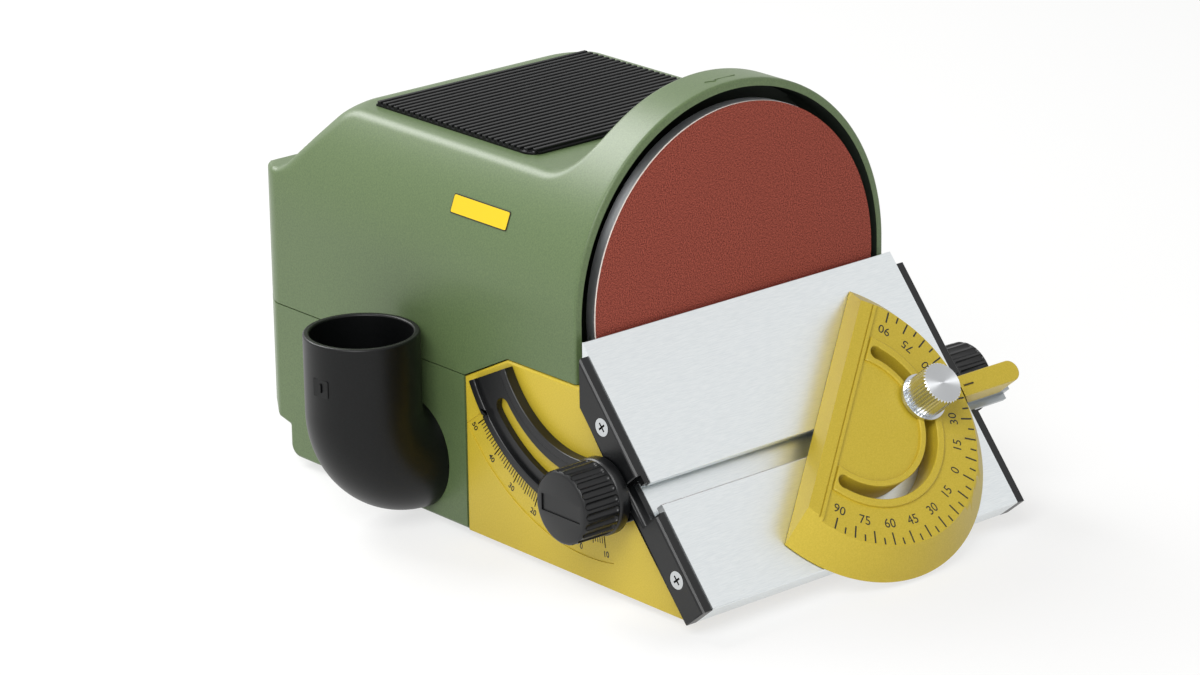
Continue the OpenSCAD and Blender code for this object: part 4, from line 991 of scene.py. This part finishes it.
def add_thumb_screw():
    """Thumb screw: stud, head with a knurl of V grooves, and a faced end."""
    bevelled = HEAD_R - HEAD_BEVEL
    body = turned_mesh("thumb_screw_body", [
        (STUD_END, 0), (STUD_END, STUD_R), (HEAD_LOW, STUD_R), (HEAD_LOW, bevelled),
        (HEAD_LOW + HEAD_BEVEL, HEAD_R), (HEAD_TOP - HEAD_BEVEL, HEAD_R), (HEAD_TOP, bevelled),
        (HEAD_TOP, 0)], steps=4 * KNURL_GROOVES)
    groove = box_mesh((-GROOVE_HALF, -GROOVE_HALF, HEAD_LOW - 1), (GROOVE_HALF, GROOVE_HALF, HEAD_TOP + 1))
    groove.transform(Matrix.Rotation(math.radians(45), 4, "Z"))
    knurl = ring_mesh("knurl", groove, KNURL_GROOVES, 0, 360 / KNURL_GROOVES, HEAD_R, turned_aluminium)
    mesh = carved("thumb_screw_soft", body, [knurl])
    mesh.transform(frame_at(thumb_centre, X_AXIS, table_normal))
    shade_smooth(mesh, sharp_from=30)
    piece = add_piece("thumb_screw_soft", mesh, body_of["thumb_screw"],
                      turned_aluminium)
    finish_where(mesh, faced_aluminium, lambda face: face.normal.dot(table_normal) > 0.9)
    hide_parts("thumb_screw")


def add_bracket_screws():
    """Screws whose cross recess is coloured black inside: painted shade."""
    screws = soften("bracket_screws").data
    head_x = max(abs(v.co.x) for v in screws.vertices)

    def in_recess(face):
        """True for a face sunk in the head that doesn't look inward."""
        depth = (head_x - abs(face.center.x)) / MM
        outward = face.normal.x * math.copysign(1, face.center.x)
        return 0.02 < depth < 2 and outward > -0.2

    # The black in the recess is painted shade.
    finish_where(screws, ink_and_painted_shade, in_recess)


add_upper_housing()
add_knob("left", -1)
add_knob("right", 1)
add_seam_tongues()
add_backing_disc()
add_abrasive_disc()
add_thumb_screw()
add_bracket_screws()

# Where the edges of the other pieces are rounded, in mm
LOWER_REAR_Y, LOWER_FOOT_H = 150, 10
FRONT_FOOT_H = 4
MAT_RIB_H = 134
BRACKET_FACE_X = 74.1
ARM_EDGE_H = 9
ELBOW_MOUTH_H = 60
# Protractor's raised ring: its edges lie above this height, inside, outside and round its slot
RING_H = 11.2
RING_EDGES_R = (22.7, 32.3)
RING_SLOT_R = (24.6, 29.8)
table_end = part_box("table")[1][0] / MM


def gauge_height(p):
    """Height of a point above the table in mm."""
    return (p * MM - gauge_centre).dot(table_normal) / MM


def on_lower_housing(p):
    """True on the lower housing's rear edges below the seam, and on its sides' edges near the foot."""
    at_rear = p.y > LOWER_REAR_Y and p.z < SEAM_H - 2
    return at_rear or abs(p.x) > HALF_W - 1 and p.z < LOWER_FOOT_H


def on_front_housing(p):
    """True on the edges of the front housing's sides, apart from the foot and the tilt scale's field."""
    from_axis = math.hypot(p.y - tilt_axis.y / MM, p.z - tilt_axis.z / MM)
    in_field = TILT_FIELD_R[0] < from_axis < TILT_FIELD_R[1] and p.x < 1 - HALF_W
    return abs(p.x) > HALF_W - 0.6 and p.z > FRONT_FOOT_H and not in_field


def on_ring(p):
    """True on the round edges of the protractor's raised ring."""
    reach = (p - gauge_centre / MM - table_normal * gauge_height(p)).length
    on_edge = any(abs(reach - r) < 0.1 for r in RING_EDGES_R)
    return gauge_height(p) > RING_H and (RING_SLOT_R[0] < reach < RING_SLOT_R[1] or on_edge)


soften("lower_housing", 1.2, on_lower_housing, segments=3)
soften("front_housing", 0.8, on_front_housing, segments=3)
soften("top_mat", 0.3, lambda p: p.z > MAT_RIB_H)
soften("table", 0.35, lambda p: abs(p.x) < table_end - 0.2)
for side in ("left", "right"):
    soften(side + "_bracket", 0.35, lambda p: abs(p.x) > BRACKET_FACE_X)
soften("protractor", 0.35, on_ring)
soften("pointer_arm", 0.4, lambda p: gauge_height(p) > ARM_EDGE_H)
soften("dust_elbow", 0.6, lambda p: p.z > ELBOW_MOUTH_H, segments=3)

bpy.context.scene.view_settings.view_transform = "Standard"
